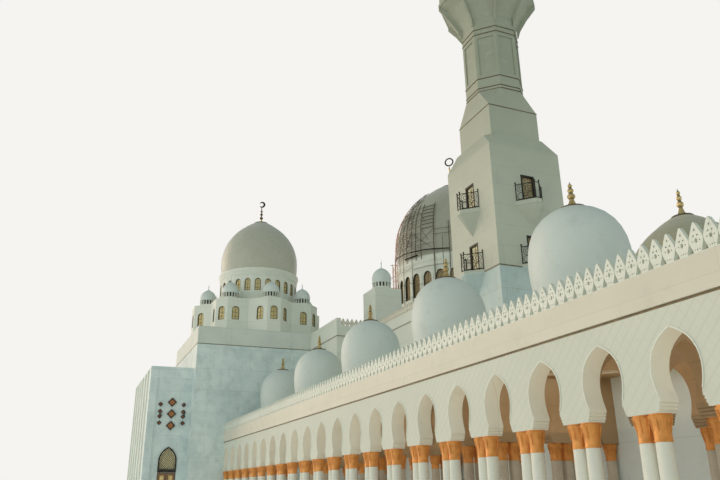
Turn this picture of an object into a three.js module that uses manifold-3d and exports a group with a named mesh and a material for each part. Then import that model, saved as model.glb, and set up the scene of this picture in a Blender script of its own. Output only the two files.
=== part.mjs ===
// Mosque with two dome towers, two arcades, two minarets and a main dome.
// Lengths below are in arcade bays; BAY turns them into millimetres of the 1:10 model.
// +X runs along the arcades away from the towers, -Y is the side in the photograph.
import * as THREE from 'three';
import { ConvexGeometry } from 'three/addons/geometries/ConvexGeometry.js';
import { mergeVertices } from 'three/addons/utils/BufferGeometryUtils.js';
import Module from 'manifold-3d';

const BAY = 360;
const FLOOR = 0.05;
const GAP = 0.0005;
const EAST = 14.84;
const WEST = -14.84;

const ARCADE = {
  first: -7.87,
  arches: 23,
  front: -11.54,
  depth: 0.23,
  inside: -11.31,
  west: -8.39,
  shaftTop: 0.844,
  capitalTop: 1.097,
  apex: 1.864,
  wallTop: 2.25,
  roofTop: 2.37,
  tip: 2.754,
  parapet: 0.12,
};
const BACK_WALL = { y: -8.33, thick: 0.15 };
// Rows of arches across the arcade: their centre planes, arch centres and piers.
const CROSS = {
  planes: [-5.37, -4.37, -1.37, -0.37, 2.63, 3.63, 6.63, 7.63, 10.63, 11.63],
  arches: [-10.93, -9.93, -8.93],
  piers: [-10.43, -9.43],
  respond: -8.54,
  ceiling: 2.15,
};
const COURT_WALL = -6.8;
const SMALL_DOME = { x: -6.87, pitch: 4, count: 6, y: -9.88, radius: 0.76, widest: 3.594, ring: 4.55 };
const TOWER = { x0: -13.84, x1: -8.39, y0: -12.72, y1: -6.98, wall: 0.2, roof: 6.0, top: 6.244 };
const CROWN = {
  x: -11.115,
  y: -9.85,
  top: 7.6,
  front: 2.7,
  face: 0.273,
  inner: 2.303,
  wall: 0.16,
  turrets: 2.132,
};
const TOWER_DRUM = { radius: 1.64, cornice: 1.7, corniceFoot: 8.9, top: 9.14, wall: 0.14, windows: 24 };
const TOWER_DOME = { radius: 1.64, ring: 11.7, tip: 12.79 };
const WING = { x0: -14.84, x1: -8.99, y0: -14.21, y1: -12.72, wall: 0.14, top: 4.764 };
const DOOR = {
  y0: -13.695,
  y1: -13.06,
  lintel: 1.08,
  beam: 0.09,
  spring: 1.5,
  apex: 1.944,
  leaf: 0.05,
  edge: 0.025,
};
const HALL = { east: 3.555, jog: -5.49, wall: 0.18, roof: 5.9, top: 6.234 };
const STAIR = { x0: -6.643, x1: -5.49, y0: -6.8, y1: -5.73, x: -6.07, y: -6.27, radius: 0.37, top: 7.54 };
const MAIN = {
  x: -10.99,
  half: 3.4,
  block: 8.0,
  radius: 2.877,
  windows: 28,
  cornice: 2.92,
  corniceFoot: 10.25,
  drumTop: 10.6,
  dome: 2.85,
  ring: 15.144,
  tip: 16.55,
};
const MINARET = { x: 2.46, y: -6.37, half: 1.095, wall: 0.15, shoulder: 8.944, ledge: 0.976, step: 9.354 };
const BALCONY = { upper: 7.35, lower: 5.65, half: 0.44, nose: 0.08, reach: 0.4, edge: 0.115, drop: 0.72 };
const SCAFFOLD = { radius: 3.05, off: 0.15, bend: 12.0, tube: 0.05 };
const PAVILION = { x: 8.4, y: -6.72, half: 1.3, top: 2.95, radius: 1.13, ring: 5.1, tip: 5.68 };

const wasm = await Module();
wasm.setup();

function solid(geometry) {
  const bare = geometry.clone();
  bare.deleteAttribute('normal');
  bare.deleteAttribute('uv');
  const merged = mergeVertices(bare, 1e-5);
  const index = merged.index.array;
  const kept = [];
  for (let i = 0; i < index.length; i += 3) {
    const [a, b, c] = [index[i], index[i + 1], index[i + 2]];
    if (a !== b && b !== c && c !== a) {
      kept.push(a, b, c);
    }
  }
  return new wasm.Manifold(new wasm.Mesh({
    numProp: 3,
    vertProperties: new Float32Array(merged.attributes.position.array),
    triVerts: new Uint32Array(kept),
  }));
}

function shapeOf(points) {
  return new THREE.Shape(points.map(([a, b]) => new THREE.Vector2(a, b)));
}

// Sets one coordinate of every corner to lo or hi, whichever end it lies at.
function pinned(geometry, axis, lo, hi) {
  const p = geometry.attributes.position;
  for (let i = 0; i < p.count; i += 1) {
    p.setComponent(i, axis, p.getComponent(i, axis) < (lo + hi) / 2 ? lo : hi);
  }
  return geometry;
}

function extruded(points, depth) {
  return new THREE.ExtrudeGeometry(shapeOf(points), { depth, bevelEnabled: false });
}

// A plan outline raised from z0 to z1.
function prism(points, z0, z1) {
  return solid(pinned(extruded(points, z1 - z0).translate(0, 0, z0), 2, z0, z1));
}

// An outline drawn in x and z, carried from y0 to y1.
function alongY(points, y0, y1) {
  const g = extruded(points, y1 - y0).rotateX(Math.PI / 2).translate(0, y1, 0);
  return solid(pinned(g, 1, y0, y1));
}

// An outline drawn in y and z, carried from x0 to x1 and turned about the vertical axis.
function alongX(points, x0, x1, angle = 0) {
  const basis = new THREE.Matrix4().makeBasis(
    new THREE.Vector3(0, 1, 0),
    new THREE.Vector3(0, 0, 1),
    new THREE.Vector3(1, 0, 0),
  );
  const g = extruded(points, x1 - x0).applyMatrix4(basis).translate(x0, 0, 0);
  return solid(pinned(g, 0, x0, x1).rotateZ(angle));
}

function box(x0, x1, y0, y1, z0, z1) {
  const g = new THREE.BoxGeometry(x1 - x0, y1 - y0, z1 - z0);
  g.translate((x0 + x1) / 2, (y0 + y1) / 2, (z0 + z1) / 2);
  return solid(pinned(pinned(pinned(g, 0, x0, x1), 1, y0, y1), 2, z0, z1));
}

// A turned shape; profile is a list of radius and height, and starts and ends on the axis.
function turned(profile, segments, x, y, turn = 0) {
  const g = new THREE.LatheGeometry(profile.map(([r, z]) => new THREE.Vector2(r, z)), segments);
  return solid(g.rotateX(Math.PI / 2).rotateZ(turn).translate(x, y, 0));
}

function join(parts) {
  return parts.reduce((all, part) => all.add(part));
}

function cut(body, tools) {
  return tools.reduce((all, tool) => all.subtract(tool), body);
}

// The convex body spanned by a list of corners.
function hull(points) {
  return solid(new ConvexGeometry(points.map(([x, y, z]) => new THREE.Vector3(x, y, z))));
}

// A square bar from one point to another.
function bar(from, to, size) {
  const a = new THREE.Vector3(...from);
  const b = new THREE.Vector3(...to);
  const g = new THREE.BoxGeometry(size, size, a.distanceTo(b));
  const turn = new THREE.Quaternion().setFromUnitVectors(
    new THREE.Vector3(0, 0, 1),
    b.clone().sub(a).normalize(),
  );
  g.applyQuaternion(turn);
  const middle = a.add(b).multiplyScalar(0.5);
  return solid(g.translate(middle.x, middle.y, middle.z));
}

// Opening in a wall: straight sides up to the spring, then two slopes to the apex.
function pointed(centre, width, z0, spring, apex) {
  const h = width / 2;
  return [
    [centre - h, z0],
    [centre + h, z0],
    [centre + h, spring],
    [centre, apex],
    [centre - h, spring],
  ];
}

const COLOURS = {
  wall: 0xd9dfd2,
  marble: 0xa9bdb8,
  dome: 0xbfc4b4,
  whiteDome: 0xd5e2e2,
  column: 0xe6e4da,
  gold: 0xc08a3a,
  wood: 0x6a4a2c,
  floor: 0xbdb8a8,
  steel: 0x6d6a62,
};

const group = new THREE.Group();
group.name = 'mosque';

function place(name, body, colour, mirrored = false) {
  const out = body.getMesh();
  const position = new Float32Array(out.vertProperties.length);
  for (let i = 0; i < position.length; i += 3) {
    position[i] = out.vertProperties[i] * BAY;
    position[i + 1] = out.vertProperties[i + 1] * (mirrored ? -BAY : BAY);
    position[i + 2] = out.vertProperties[i + 2] * BAY;
  }
  const index = Array.from(out.triVerts);
  if (mirrored) {
    for (let i = 0; i < index.length; i += 3) {
      [index[i + 1], index[i + 2]] = [index[i + 2], index[i + 1]];
    }
  }
  const geometry = new THREE.BufferGeometry();
  geometry.setAttribute('position', new THREE.BufferAttribute(position, 3));
  geometry.setIndex(index);
  geometry.computeVertexNormals();
  const material = new THREE.MeshStandardMaterial({ color: COLOURS[colour], roughness: 0.6 });
  material.name = name;
  const mesh = new THREE.Mesh(geometry, material);
  mesh.name = name;
  group.add(mesh);
}

function bothSides(name, body, colour) {
  place(`${name}_south`, body, colour);
  place(`${name}_north`, body, colour, true);
}

// Half outline of one arcade arch, from the capital up to the apex.
const ARCH = [[0.29, 1.097], [0.245, 1.234], [0.297, 1.47], [0.2, 1.71]];
const INNER_ARCH = [[0.27, 1.097], [0.3, 1.45], [0.17, 1.74]];

function archOutline(centre, half, apex) {
  const right = half.map(([x, z]) => [centre + x, z]);
  const left = half.map(([x, z]) => [centre - x, z]).reverse();
  const foot = half[0][0];
  return [[centre - foot, 0.9], [centre + foot, 0.9], ...right, [centre, apex], ...left];
}

// Twin shafts under one flared capital; half piers close a length of wall at its ends.
function pier(centre, y0, y1, sides) {
  const parts = [];
  const left = sides.includes('left') ? 0.21 : 0;
  const right = sides.includes('right') ? 0.21 : 0;
  const inset = 0.045;
  const capital = [
    [centre - left * 0.86, ARCADE.shaftTop],
    [centre + right * 0.86, ARCADE.shaftTop],
    [centre + right, ARCADE.capitalTop + 0.01],
    [centre - left, ARCADE.capitalTop + 0.01],
  ];
  parts.push(alongY(capital, y0 + 0.01, y1 - 0.01));
  for (const [side, offset] of [['left', -0.105], ['right', 0.105]]) {
    if (sides.includes(side)) {
      const x = centre + offset;
      parts.push(box(x - 0.07, x + 0.07, y0 + inset, y1 - inset, FLOOR, ARCADE.shaftTop + 0.01));
    }
  }
  return parts;
}

function frontLength(from, to, x0, x1) {
  const y0 = ARCADE.front;
  const y1 = ARCADE.inside;
  const arches = [];
  for (let i = from; i < to; i += 1) {
    arches.push(alongY(archOutline(ARCADE.first + i, ARCH, ARCADE.apex), y0 - 1, y1 + 1));
  }
  const parts = [cut(box(x0, x1, y0, y1, ARCADE.capitalTop, ARCADE.wallTop), arches)];
  for (let i = from; i <= to; i += 1) {
    const centre = ARCADE.first - 0.5 + i;
    const sides = [];
    if (i > from || centre - 0.2 > x0) {
      sides.push('left');
    }
    if (i < to || centre + 0.2 < x1) {
      sides.push('right');
    }
    parts.push(...pier(centre, y0, y1, sides));
  }
  parts.push(box(x0, x1, y0, y0 + ARCADE.parapet, ARCADE.wallTop - 0.05, ARCADE.tip));
  return join(parts);
}

const lengths = [
  ['west', 0, 8, ARCADE.west, ARCADE.first + 7.5 - GAP],
  ['mid', 8, 16, ARCADE.first + 7.5 + GAP, ARCADE.first + 15.5 - GAP],
  ['east', 16, 23, ARCADE.first + 15.5 + GAP, EAST],
];
for (const [name, from, to, x0, x1] of lengths) {
  bothSides(`arcade_front_${name}`, frontLength(from, to, x0, x1), 'wall');
}

// Three arches across the arcade between x0 and x1, from the outer wall to the back wall.
function crossWall(x0, x1) {
  const arches = CROSS.arches.map((y) => alongX(archOutline(y, INNER_ARCH, ARCADE.apex), x0 - 1, x1 + 1));
  const wall = box(x0, x1, ARCADE.inside, BACK_WALL.y, ARCADE.capitalTop, ARCADE.wallTop);
  const parts = [cut(wall, arches)];
  for (const y of CROSS.piers) {
    const capital = [
      [y - 0.18, ARCADE.shaftTop],
      [y + 0.18, ARCADE.shaftTop],
      [y + 0.21, ARCADE.capitalTop + 0.01],
      [y - 0.21, ARCADE.capitalTop + 0.01],
    ];
    parts.push(alongX(capital, x0 + 0.01, x1 - 0.01));
    for (const shaft of [y - 0.105, y + 0.105]) {
      parts.push(box(x0 + 0.045, x1 - 0.045, shaft - 0.07, shaft + 0.07, FLOOR, ARCADE.shaftTop + 0.01));
    }
  }
  parts.push(box(x0 + 0.02, x1 - 0.02, CROSS.respond, BACK_WALL.y, FLOOR, ARCADE.capitalTop + 0.01));
  return parts;
}

// Rows of arches between the domed squares of the arcade, under one ceiling.
{
  const outline = [[ARCADE.inside, ARCADE.capitalTop]];
  for (const [i, y] of CROSS.arches.entries()) {
    outline.push([y - 0.29, 1.45], [y, ARCADE.apex], [y + 0.29, 1.45]);
    if (i < CROSS.piers.length) {
      const [west, east] = [CROSS.piers[i] - 0.17, CROSS.piers[i] + 0.17];
      outline.push([west, ARCADE.shaftTop], [west, FLOOR], [east, FLOOR], [east, ARCADE.shaftTop]);
    }
  }
  outline.push([CROSS.respond, ARCADE.shaftTop], [CROSS.respond, FLOOR], [BACK_WALL.y, FLOOR]);
  outline.push([BACK_WALL.y, ARCADE.wallTop], [ARCADE.inside, ARCADE.wallTop]);
  const half = ARCADE.depth / 2 - 0.02;
  const ceiling = box(
    ARCADE.west,
    EAST - ARCADE.depth,
    ARCADE.inside,
    BACK_WALL.y,
    CROSS.ceiling,
    ARCADE.wallTop,
  );
  const rows = CROSS.planes.map((x) => alongX(outline, x - half, x + half));
  bothSides('arcade_cross', join([ceiling, ...rows]), 'wall');
}

// East end of an arcade: the same three arches, closed above by a parapet.
{
  const parts = crossWall(EAST - ARCADE.depth, EAST);
  parts.push(box(EAST - 0.12, EAST, ARCADE.inside, BACK_WALL.y, ARCADE.wallTop - 0.05, ARCADE.tip));
  bothSides('arcade_end', join(parts), 'wall');
}

bothSides('arcade_back', prism([
  [HALL.jog, BACK_WALL.y],
  [EAST, BACK_WALL.y],
  [EAST, COURT_WALL],
  [HALL.east, COURT_WALL],
  [HALL.east, COURT_WALL - BACK_WALL.thick],
  [EAST - BACK_WALL.thick, COURT_WALL - BACK_WALL.thick],
  [EAST - BACK_WALL.thick, BACK_WALL.y + BACK_WALL.thick],
  [HALL.jog, BACK_WALL.y + BACK_WALL.thick],
], FLOOR, ARCADE.wallTop), 'marble');

// Profile of a dome from its foot to the plate at its crown, as shares of radius and height.
const DOME = [
  [0.98, 0],
  [1, 0.2],
  [0.95, 0.45],
  [0.875, 0.57],
  [0.77, 0.68],
  [0.637, 0.78],
  [0.485, 0.86],
  [0.165, 1],
];

function domeProfile(radius, foot, top) {
  return DOME.map(([r, h]) => [r * radius, foot + h * (top - foot)]);
}

// A crescent standing upright, open towards the turned -X direction.
function crescent(radius, thick, angle, x, y, z) {
  const points = [];
  for (let i = 0; i <= 10; i += 1) {
    const a = ((i - 5) / 5) * 2.5;
    points.push([radius * Math.cos(a), radius * Math.sin(a)]);
  }
  for (let i = 8; i >= 0; i -= 1) {
    const a = ((i - 4) / 4) * 2.2;
    points.push([radius * (0.78 * Math.cos(a) - 0.12), radius * 0.72 * Math.sin(a)]);
  }
  const body = alongY(points, -thick / 2, thick / 2);
  return body.rotate([0, 0, (angle * 180) / Math.PI]).translate([x, y, z]);
}

// Roof slab of an arcade with its row of domes.
{
  const y = ARCADE.front + ARCADE.parapet;
  const m = MINARET;
  const slab = prism([
    [ARCADE.west, y],
    [EAST - 0.12, y],
    [EAST - 0.12, BACK_WALL.y],
    [EAST, BACK_WALL.y],
    [EAST, COURT_WALL],
    [m.x + m.half, COURT_WALL],
    [m.x + m.half, m.y - m.half],
    [m.x - m.half, m.y - m.half],
    [m.x - m.half, COURT_WALL],
    [HALL.jog, COURT_WALL],
    [HALL.jog, BACK_WALL.y],
    [ARCADE.west, BACK_WALL.y],
  ], ARCADE.wallTop, ARCADE.roofTop);
  const parts = [slab];
  const d = SMALL_DOME;
  for (let k = 0; k < d.count; k += 1) {
    const profile = [
      [0, ARCADE.roofTop - 0.03],
      [0.66, ARCADE.roofTop - 0.03],
      [d.radius, d.widest],
      [d.radius * 0.8, 4.15],
      [d.radius * 0.42, 4.45],
      [0.07, d.ring],
      [0, d.ring + 0.42],
    ];
    parts.push(turned(profile, 8, d.x + k * d.pitch, d.y));
  }
  bothSides('arcade_roof', join(parts), 'whiteDome');
}

// Dome tower: square base, crown of eight three-sided bays, drum and dome.
{
  const t = TOWER;
  const base = cut(box(t.x0, t.x1, t.y0, t.y1, FLOOR, t.top), [
    box(t.x0 + t.wall, t.x1 - t.wall, t.y0 + t.wall, t.y1 - t.wall, FLOOR - 1, t.roof),
  ]);
  bothSides('tower_base', base, 'marble');

  const star = [];
  const inner = [];
  const corner = (r, side, a) => [
    CROWN.x + r * Math.cos(a) - side * Math.sin(a),
    CROWN.y + r * Math.sin(a) + side * Math.cos(a),
  ];
  const bay = Math.PI / 4;
  for (let k = 0; k < 8; k += 1) {
    const a = k * bay;
    star.push(corner(CROWN.front, -CROWN.face, a), corner(CROWN.front, CROWN.face, a));
    star.push(corner(CROWN.inner, 0, a + bay / 2));
    inner.push(corner(CROWN.front - CROWN.wall, -0.215, a), corner(CROWN.front - CROWN.wall, 0.215, a));
    inner.push(corner(CROWN.inner - 0.19, 0, a + bay / 2));
  }
  const tools = [prism(inner, t.roof, CROWN.top - 0.12)];
  const lights = [[1.8, 0, 0], [2.12, -0.16, -bay], [2.12, 0.16, bay]];
  for (let k = 0; k < 8; k += 1) {
    const a = k * bay;
    for (const [r, side, turn] of lights) {
      const hole = alongX(pointed(0, 0.29, 6.73, 7.12, 7.27), 0, 1, a + turn);
      tools.push(hole.translate([...corner(r, side, a), 0]));
    }
  }
  const parts = [cut(prism(star, t.top, CROWN.top), tools)];
  for (let k = 0; k < 8; k += 1) {
    const turret = [
      [0, CROWN.top - 0.02],
      [0.33, CROWN.top - 0.02],
      [0.33, 8.03],
      [0.16, 8.36],
      [0, 8.65],
    ];
    parts.push(turned(turret, 6, ...corner(CROWN.turrets, 0, k * bay)));
  }
  bothSides('tower_crown', join(parts), 'wall');

  const d = TOWER_DRUM;
  const turn = Math.PI / d.windows;
  const outer = turned([
    [0, CROWN.top],
    [d.radius, CROWN.top],
    [d.radius, d.corniceFoot],
    [d.cornice, d.corniceFoot],
    [d.cornice, d.top],
    [0, d.top],
  ], d.windows, CROWN.x, CROWN.y, turn);
  const bore = d.radius - d.wall;
  const holes = [turned([
    [0, CROWN.top - 1],
    [bore, CROWN.top - 1],
    [bore, d.top + 1],
    [0, d.top + 1],
  ], d.windows, CROWN.x, CROWN.y, turn)];
  for (let k = 0; k < d.windows; k += 1) {
    const hole = alongX(pointed(0, 0.27, 8.16, 8.52, 8.68), 1.2, 2, (k * 2 * Math.PI) / d.windows);
    holes.push(hole.translate([CROWN.x, CROWN.y, 0]));
  }
  bothSides('tower_drum', cut(outer, holes), 'wall');

  const e = TOWER_DOME;
  const skin = turned([
    [0, d.top],
    ...domeProfile(e.radius, d.top, e.ring),
    [0, e.ring],
  ], 16, CROWN.x, CROWN.y);
  const core = turned([
    [0, d.top - 1],
    [1.45, d.top - 1],
    [1.46, 9.9],
    [1.36, 10.3],
    [1.08, 10.85],
    [0.6, 11.3],
    [0, 11.5],
  ], 12, CROWN.x, CROWN.y);
  bothSides('tower_dome', skin.subtract(core), 'dome');

  const stem = turned([
    [0, e.ring],
    [0.27, e.ring],
    [0.07, e.ring + 0.12],
    [0.1, e.ring + 0.25],
    [0.04, e.ring + 0.38],
    [0.07, e.ring + 0.5],
    [0.025, e.ring + 0.62],
    [0.025, e.tip - 0.28],
    [0, e.tip - 0.27],
  ], 6, CROWN.x, CROWN.y);
  const moon = crescent(0.15, 0.05, 1.177, CROWN.x, CROWN.y, e.tip - 0.16);
  bothSides('tower_finial', join([stem, moon]), 'gold');
}

// Portal wing in front of a tower, with its doorway in the east face.
{
  const w = WING;
  const d = DOOR;
  const x0 = w.x1 - w.wall;
  const shell = cut(box(w.x0, x0, w.y0, w.y1, FLOOR, w.top), [
    box(w.x0 + w.wall, x0 + 1, w.y0 + w.wall, w.y1 - w.wall, FLOOR - 1, w.top - 0.2),
  ]);
  bothSides('wing_walls', shell, 'marble');
  const rows = [];
  const diamond = (y, z, r) => {
    const line = [[y, z - r], [y + r, z], [y, z + r], [y - r, z]];
    return alongX(line, w.x1 - 1, w.x1 + 1);
  };
  for (const z of [3.494, 3.084, 2.674]) {
    rows.push(diamond(-13.37, z, 0.165));
  }
  for (const y of [-13.775, -12.955]) {
    for (const z of [3.411, 3.164, 2.994, 2.764]) {
      rows.push(diamond(y, z, 0.085));
    }
  }
  const doorway = [
    [d.y0, FLOOR - 1],
    [d.y1, FLOOR - 1],
    [d.y1, d.lintel],
    [d.y0, d.lintel],
  ];
  const right = [[1, 0], [0.93, 0.25], [0.81, 0.45], [0.42, 0.81]];
  const arc = [...right, [0, 1], ...right.map(([across, up]) => [-across, up]).reverse()];
  const half = (d.y1 - d.y0) / 2;
  const head = [[d.y0, d.lintel + d.beam], [d.y1, d.lintel + d.beam]];
  for (const [across, up] of arc) {
    head.push([(d.y0 + d.y1) / 2 + across * half, d.spring + up * (d.apex - d.spring)]);
  }
  const front = cut(box(x0, w.x1, w.y0, w.y1, FLOOR, w.top), [
    box(w.x1 - 0.05, w.x1 + 1, -13.96, w.y1 + 1, FLOOR - 1, 4.35),
    alongX(doorway, w.x1 - 1, w.x1 + 1),
    alongX(head, w.x1 - 1, w.x1 + 1),
    ...rows,
  ]);
  bothSides('wing_front', front, 'marble');

  const x1 = w.x1 - 0.07;
  const axis = x1 - d.leaf / 2;
  const mid = (d.y0 + d.y1) / 2;
  const leaf = (hinge, from, to) => {
    const pin = new THREE.CylinderGeometry(0.014, 0.014, 1, 6, 1);
    pin.rotateX(Math.PI / 2).scale(1, 1, d.lintel - FLOOR - 0.002);
    pin.translate(axis, hinge, (d.lintel + FLOOR) / 2);
    return join([box(x1 - d.leaf, x1, from, to, FLOOR + 0.014, d.lintel - 0.014), solid(pin)]);
  };
  place('door_leaf_left', leaf(d.y0 + d.edge + d.leaf / 2, d.y0 + d.edge, mid - 0.007), 'wood');
  place('door_leaf_right', leaf(d.y1 - d.edge - d.leaf / 2, mid + 0.007, d.y1 - d.edge), 'wood');
  place('door_north', box(x1 - d.leaf, x1, d.y0, d.y1, FLOOR, d.lintel), 'wood', true);
}

// Hall: walls around the prayer hall, wrapped round the inner sides of both minarets.
{
  const m = MINARET;
  const t = HALL.wall;
  const outside = [
    [TOWER.x1, TOWER.y1],
    [TOWER.x1, BACK_WALL.y],
    [HALL.jog, BACK_WALL.y],
    [HALL.jog, COURT_WALL],
    [m.x - m.half, COURT_WALL],
    [m.x - m.half, m.y + m.half],
    [HALL.east - t, m.y + m.half],
  ];
  const inside = [
    [TOWER.x1 + t, TOWER.y1 + t],
    [TOWER.x1 + t, BACK_WALL.y + t],
    [HALL.jog - t, BACK_WALL.y + t],
    [HALL.jog - t, COURT_WALL + t],
    [m.x - m.half - t, COURT_WALL + t],
    [m.x - m.half - t, m.y + m.half + t],
    [HALL.east - t, m.y + m.half + t],
  ];
  const side = [
    [WEST + t, TOWER.y1],
    ...outside,
    ...[...inside].reverse(),
    [WEST + t, TOWER.y1 + t],
  ];
  bothSides('hall_side', prism(side, FLOOR, HALL.top), 'wall');
  place('hall_back', box(WEST, WEST + t, TOWER.y1, -TOWER.y1, FLOOR, HALL.top), 'wall');
  const doors = [];
  for (const y of [-2.6, 0, 2.6]) {
    doors.push(alongX(pointed(y, 1.3, FLOOR - 1, 2.3, 3.1), HALL.east - 1, HALL.east + 1));
  }
  const end = m.y + m.half;
  place('hall_front', cut(box(HALL.east - t, HALL.east, end, -end, FLOOR, HALL.top), doors), 'wall');
  const rim = [[WEST + t, TOWER.y1 + t], ...inside];
  const roof = [...rim, ...rim.map(([x, y]) => [x, -y]).reverse()];
  place('hall_roof', prism(roof, HALL.roof - 0.15, HALL.roof), 'floor');
}

// Stair turret on the hall roof, at the jog of the wall.
{
  const s = STAIR;
  const t = HALL.wall;
  const corner = box(s.x1 - t - GAP, s.x1 + 1, s.y0 - 1, s.y0 + t + GAP, HALL.roof - 1, HALL.top + GAP);
  const block = box(s.x0, s.x1, s.y0, s.y1, HALL.roof, s.top).subtract(corner);
  const lantern = turned([
    [0, s.top - 0.01],
    [s.radius, s.top - 0.01],
    [s.radius, 7.95],
    [0.33, 8.2],
    [0.13, 8.45],
    [0.03, 8.52],
    [0, 8.86],
  ], 10, s.x, s.y);
  bothSides('stair_turret', join([block, lantern]), 'wall');
}

// Main dome on its block and window drum.
{
  const m = MAIN;
  const ring = turned([
    [0, m.block - 0.1],
    [m.radius, m.block - 0.1],
    [m.radius, m.corniceFoot],
    [m.cornice, m.corniceFoot],
    [m.cornice, m.drumTop],
    [0, m.drumTop],
  ], m.windows, m.x, 0);
  const bore = turned([
    [0, m.block - 4],
    [2.66, m.block - 4],
    [2.66, m.drumTop + 1],
    [0, m.drumTop + 1],
  ], m.windows, m.x, 0);
  const block = box(m.x - m.half, m.x + m.half, -m.half, m.half, HALL.roof, m.block);
  const drum = join([block, ring]).subtract(bore);
  const windows = [];
  for (let k = 0; k < m.windows; k += 1) {
    const hole = alongX(pointed(0, 0.42, 8.67, 9.5, 9.82), 2.3, 3.3, ((k + 0.5) * 2 * Math.PI) / m.windows);
    windows.push(hole.translate([m.x, 0, 0]));
  }
  place('main_drum', cut(drum, windows), 'wall');
  const skin = turned([
    [0, m.drumTop],
    ...domeProfile(m.dome, m.drumTop, m.ring),
    [0, m.ring],
  ], 24, m.x, 0);
  const core = turned([
    [0, m.drumTop - 1],
    [2.55, m.drumTop - 1],
    [2.62, 11.6],
    [2.45, 12.6],
    [1.95, 13.6],
    [1.15, 14.4],
    [0, 14.9],
  ], 12, m.x, 0);
  place('main_dome', skin.subtract(core), 'dome');
  const stem = turned([
    [0, m.ring],
    [0.5, m.ring],
    [0.12, m.ring + 0.15],
    [0.16, m.ring + 0.4],
    [0.05, m.ring + 0.55],
    [0.03, m.ring + 0.95],
    [0, m.ring + 0.97],
  ], 6, m.x, 0);
  const moon = new THREE.TorusGeometry(0.22, 0.035, 4, 10);
  moon.rotateX(Math.PI / 2).rotateZ(Math.PI / 4).translate(m.x, 0, m.tip - 0.255);
  place('main_finial', join([stem, solid(moon)]), 'gold');
}

// Minaret: square body with balconies, octagonal shaft with gallery, then the lantern stage.
{
  const m = MINARET;
  const h = m.half;
  // The sloped shoulder has a small three-cornered facet at each of its corners.
  const shoulder = [[m.x, m.y, m.shoulder - 0.014]];
  for (const [sx, sy] of [[1, 1], [1, -1], [-1, 1], [-1, -1]]) {
    shoulder.push([m.x + sx * h, m.y + sy * h, m.shoulder]);
    shoulder.push([m.x + sx * (m.ledge - 0.27), m.y + sy * m.ledge, m.step]);
    shoulder.push([m.x + sx * m.ledge, m.y + sy * (m.ledge - 0.27), m.step]);
  }
  const parts = [box(m.x - h, m.x + h, m.y - h, m.y + h, FLOOR, m.shoulder), hull(shoulder)];
  const inside = h - m.wall;
  const tools = [box(m.x - inside, m.x + inside, m.y - inside, m.y + inside, FLOOR - 1, 8.9)];
  const b = BALCONY;
  const plan = [
    [h - 0.02, -b.half],
    [h, -b.half],
    [h + b.reach, -b.nose],
    [h + b.reach, b.nose],
    [h, b.half],
    [h - 0.02, b.half],
  ];
  for (let k = 0; k < 4; k += 1) {
    const decks = k === 0 || k === 3 ? [b.upper, b.lower] : [b.upper];
    for (const deck of decks) {
      const corners = plan.flatMap(([x, y]) => [[x, y, deck], [x, y, deck - b.edge]]);
      const deckBody = hull([...corners, [h - 0.02, 0, deck - b.drop]]);
      const doorway = box(h - 1, h + 1, -0.21, 0.21, deck, deck + 0.8);
      parts.push(deckBody.rotate([0, 0, k * 90]).translate([m.x, m.y, 0]));
      tools.push(doorway.rotate([0, 0, k * 90]).translate([m.x, m.y, 0]));
    }
  }
  bothSides('minaret_body', cut(join(parts), tools), 'wall');

  const oct = 1 / Math.cos(Math.PI / 8);
  const a = 0.77 * oct;
  const square = box(m.x - 0.785, m.x + 0.785, m.y - 0.785, m.y + 0.785, m.step, 10.334);
  const broach = turned([
    [0, 10.33],
    [0.785 * Math.SQRT2, 10.334],
    [0.66 * Math.SQRT2, 10.98],
    [0, 10.98],
  ], 4, m.x, m.y, Math.PI / 4);
  const shaft = turned([
    [0, 10.3],
    [a, 10.3],
    [a, 13.45],
    [1.37 * oct, 14.42],
    [1.37 * oct, 14.85],
    [1.27 * oct, 14.85],
    [1.27 * oct, 14.5],
    [0, 14.5],
  ], 8, m.x, m.y, Math.PI / 8);
  const bore = turned([[0, 9], [0.62, 9], [0.62, 14.3], [0, 14.3]], 8, m.x, m.y, Math.PI / 8);
  bothSides('minaret_shaft', join([square, broach, shaft]).subtract(bore), 'wall');

  const stage = turned([
    [0, 14.5],
    [0.62, 14.5],
    [0.62, 17.3],
    [0.95, 17.75],
    [0.95, 18.0],
    [0.5, 18.0],
    [0.5, 19.2],
    [0, 19.2],
  ], 8, m.x, m.y, Math.PI / 8);
  const hollow = turned([[0, 13], [0.48, 13], [0.48, 18.9], [0, 18.9]], 8, m.x, m.y, Math.PI / 8);
  const lights = [];
  for (let k = 0; k < 4; k += 1) {
    const hole = alongX(pointed(0, 0.3, 18.1, 18.7, 18.9), -2, 2, (k * Math.PI) / 4 + Math.PI / 8);
    lights.push(hole.translate([m.x, m.y, 0]));
  }
  bothSides('minaret_stage', cut(stage, [hollow, ...lights]), 'wall');
  const top = turned([
    [0, 19.2],
    [0.5, 19.2],
    [0.58, 19.4],
    [0.45, 19.75],
    [0.15, 19.98],
    [0.05, 20.1],
    [0.09, 20.25],
    [0.03, 20.4],
    [0, 20.84],
  ], 8, m.x, m.y, Math.PI / 8);
  bothSides('minaret_finial', top, 'gold');
}

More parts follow.
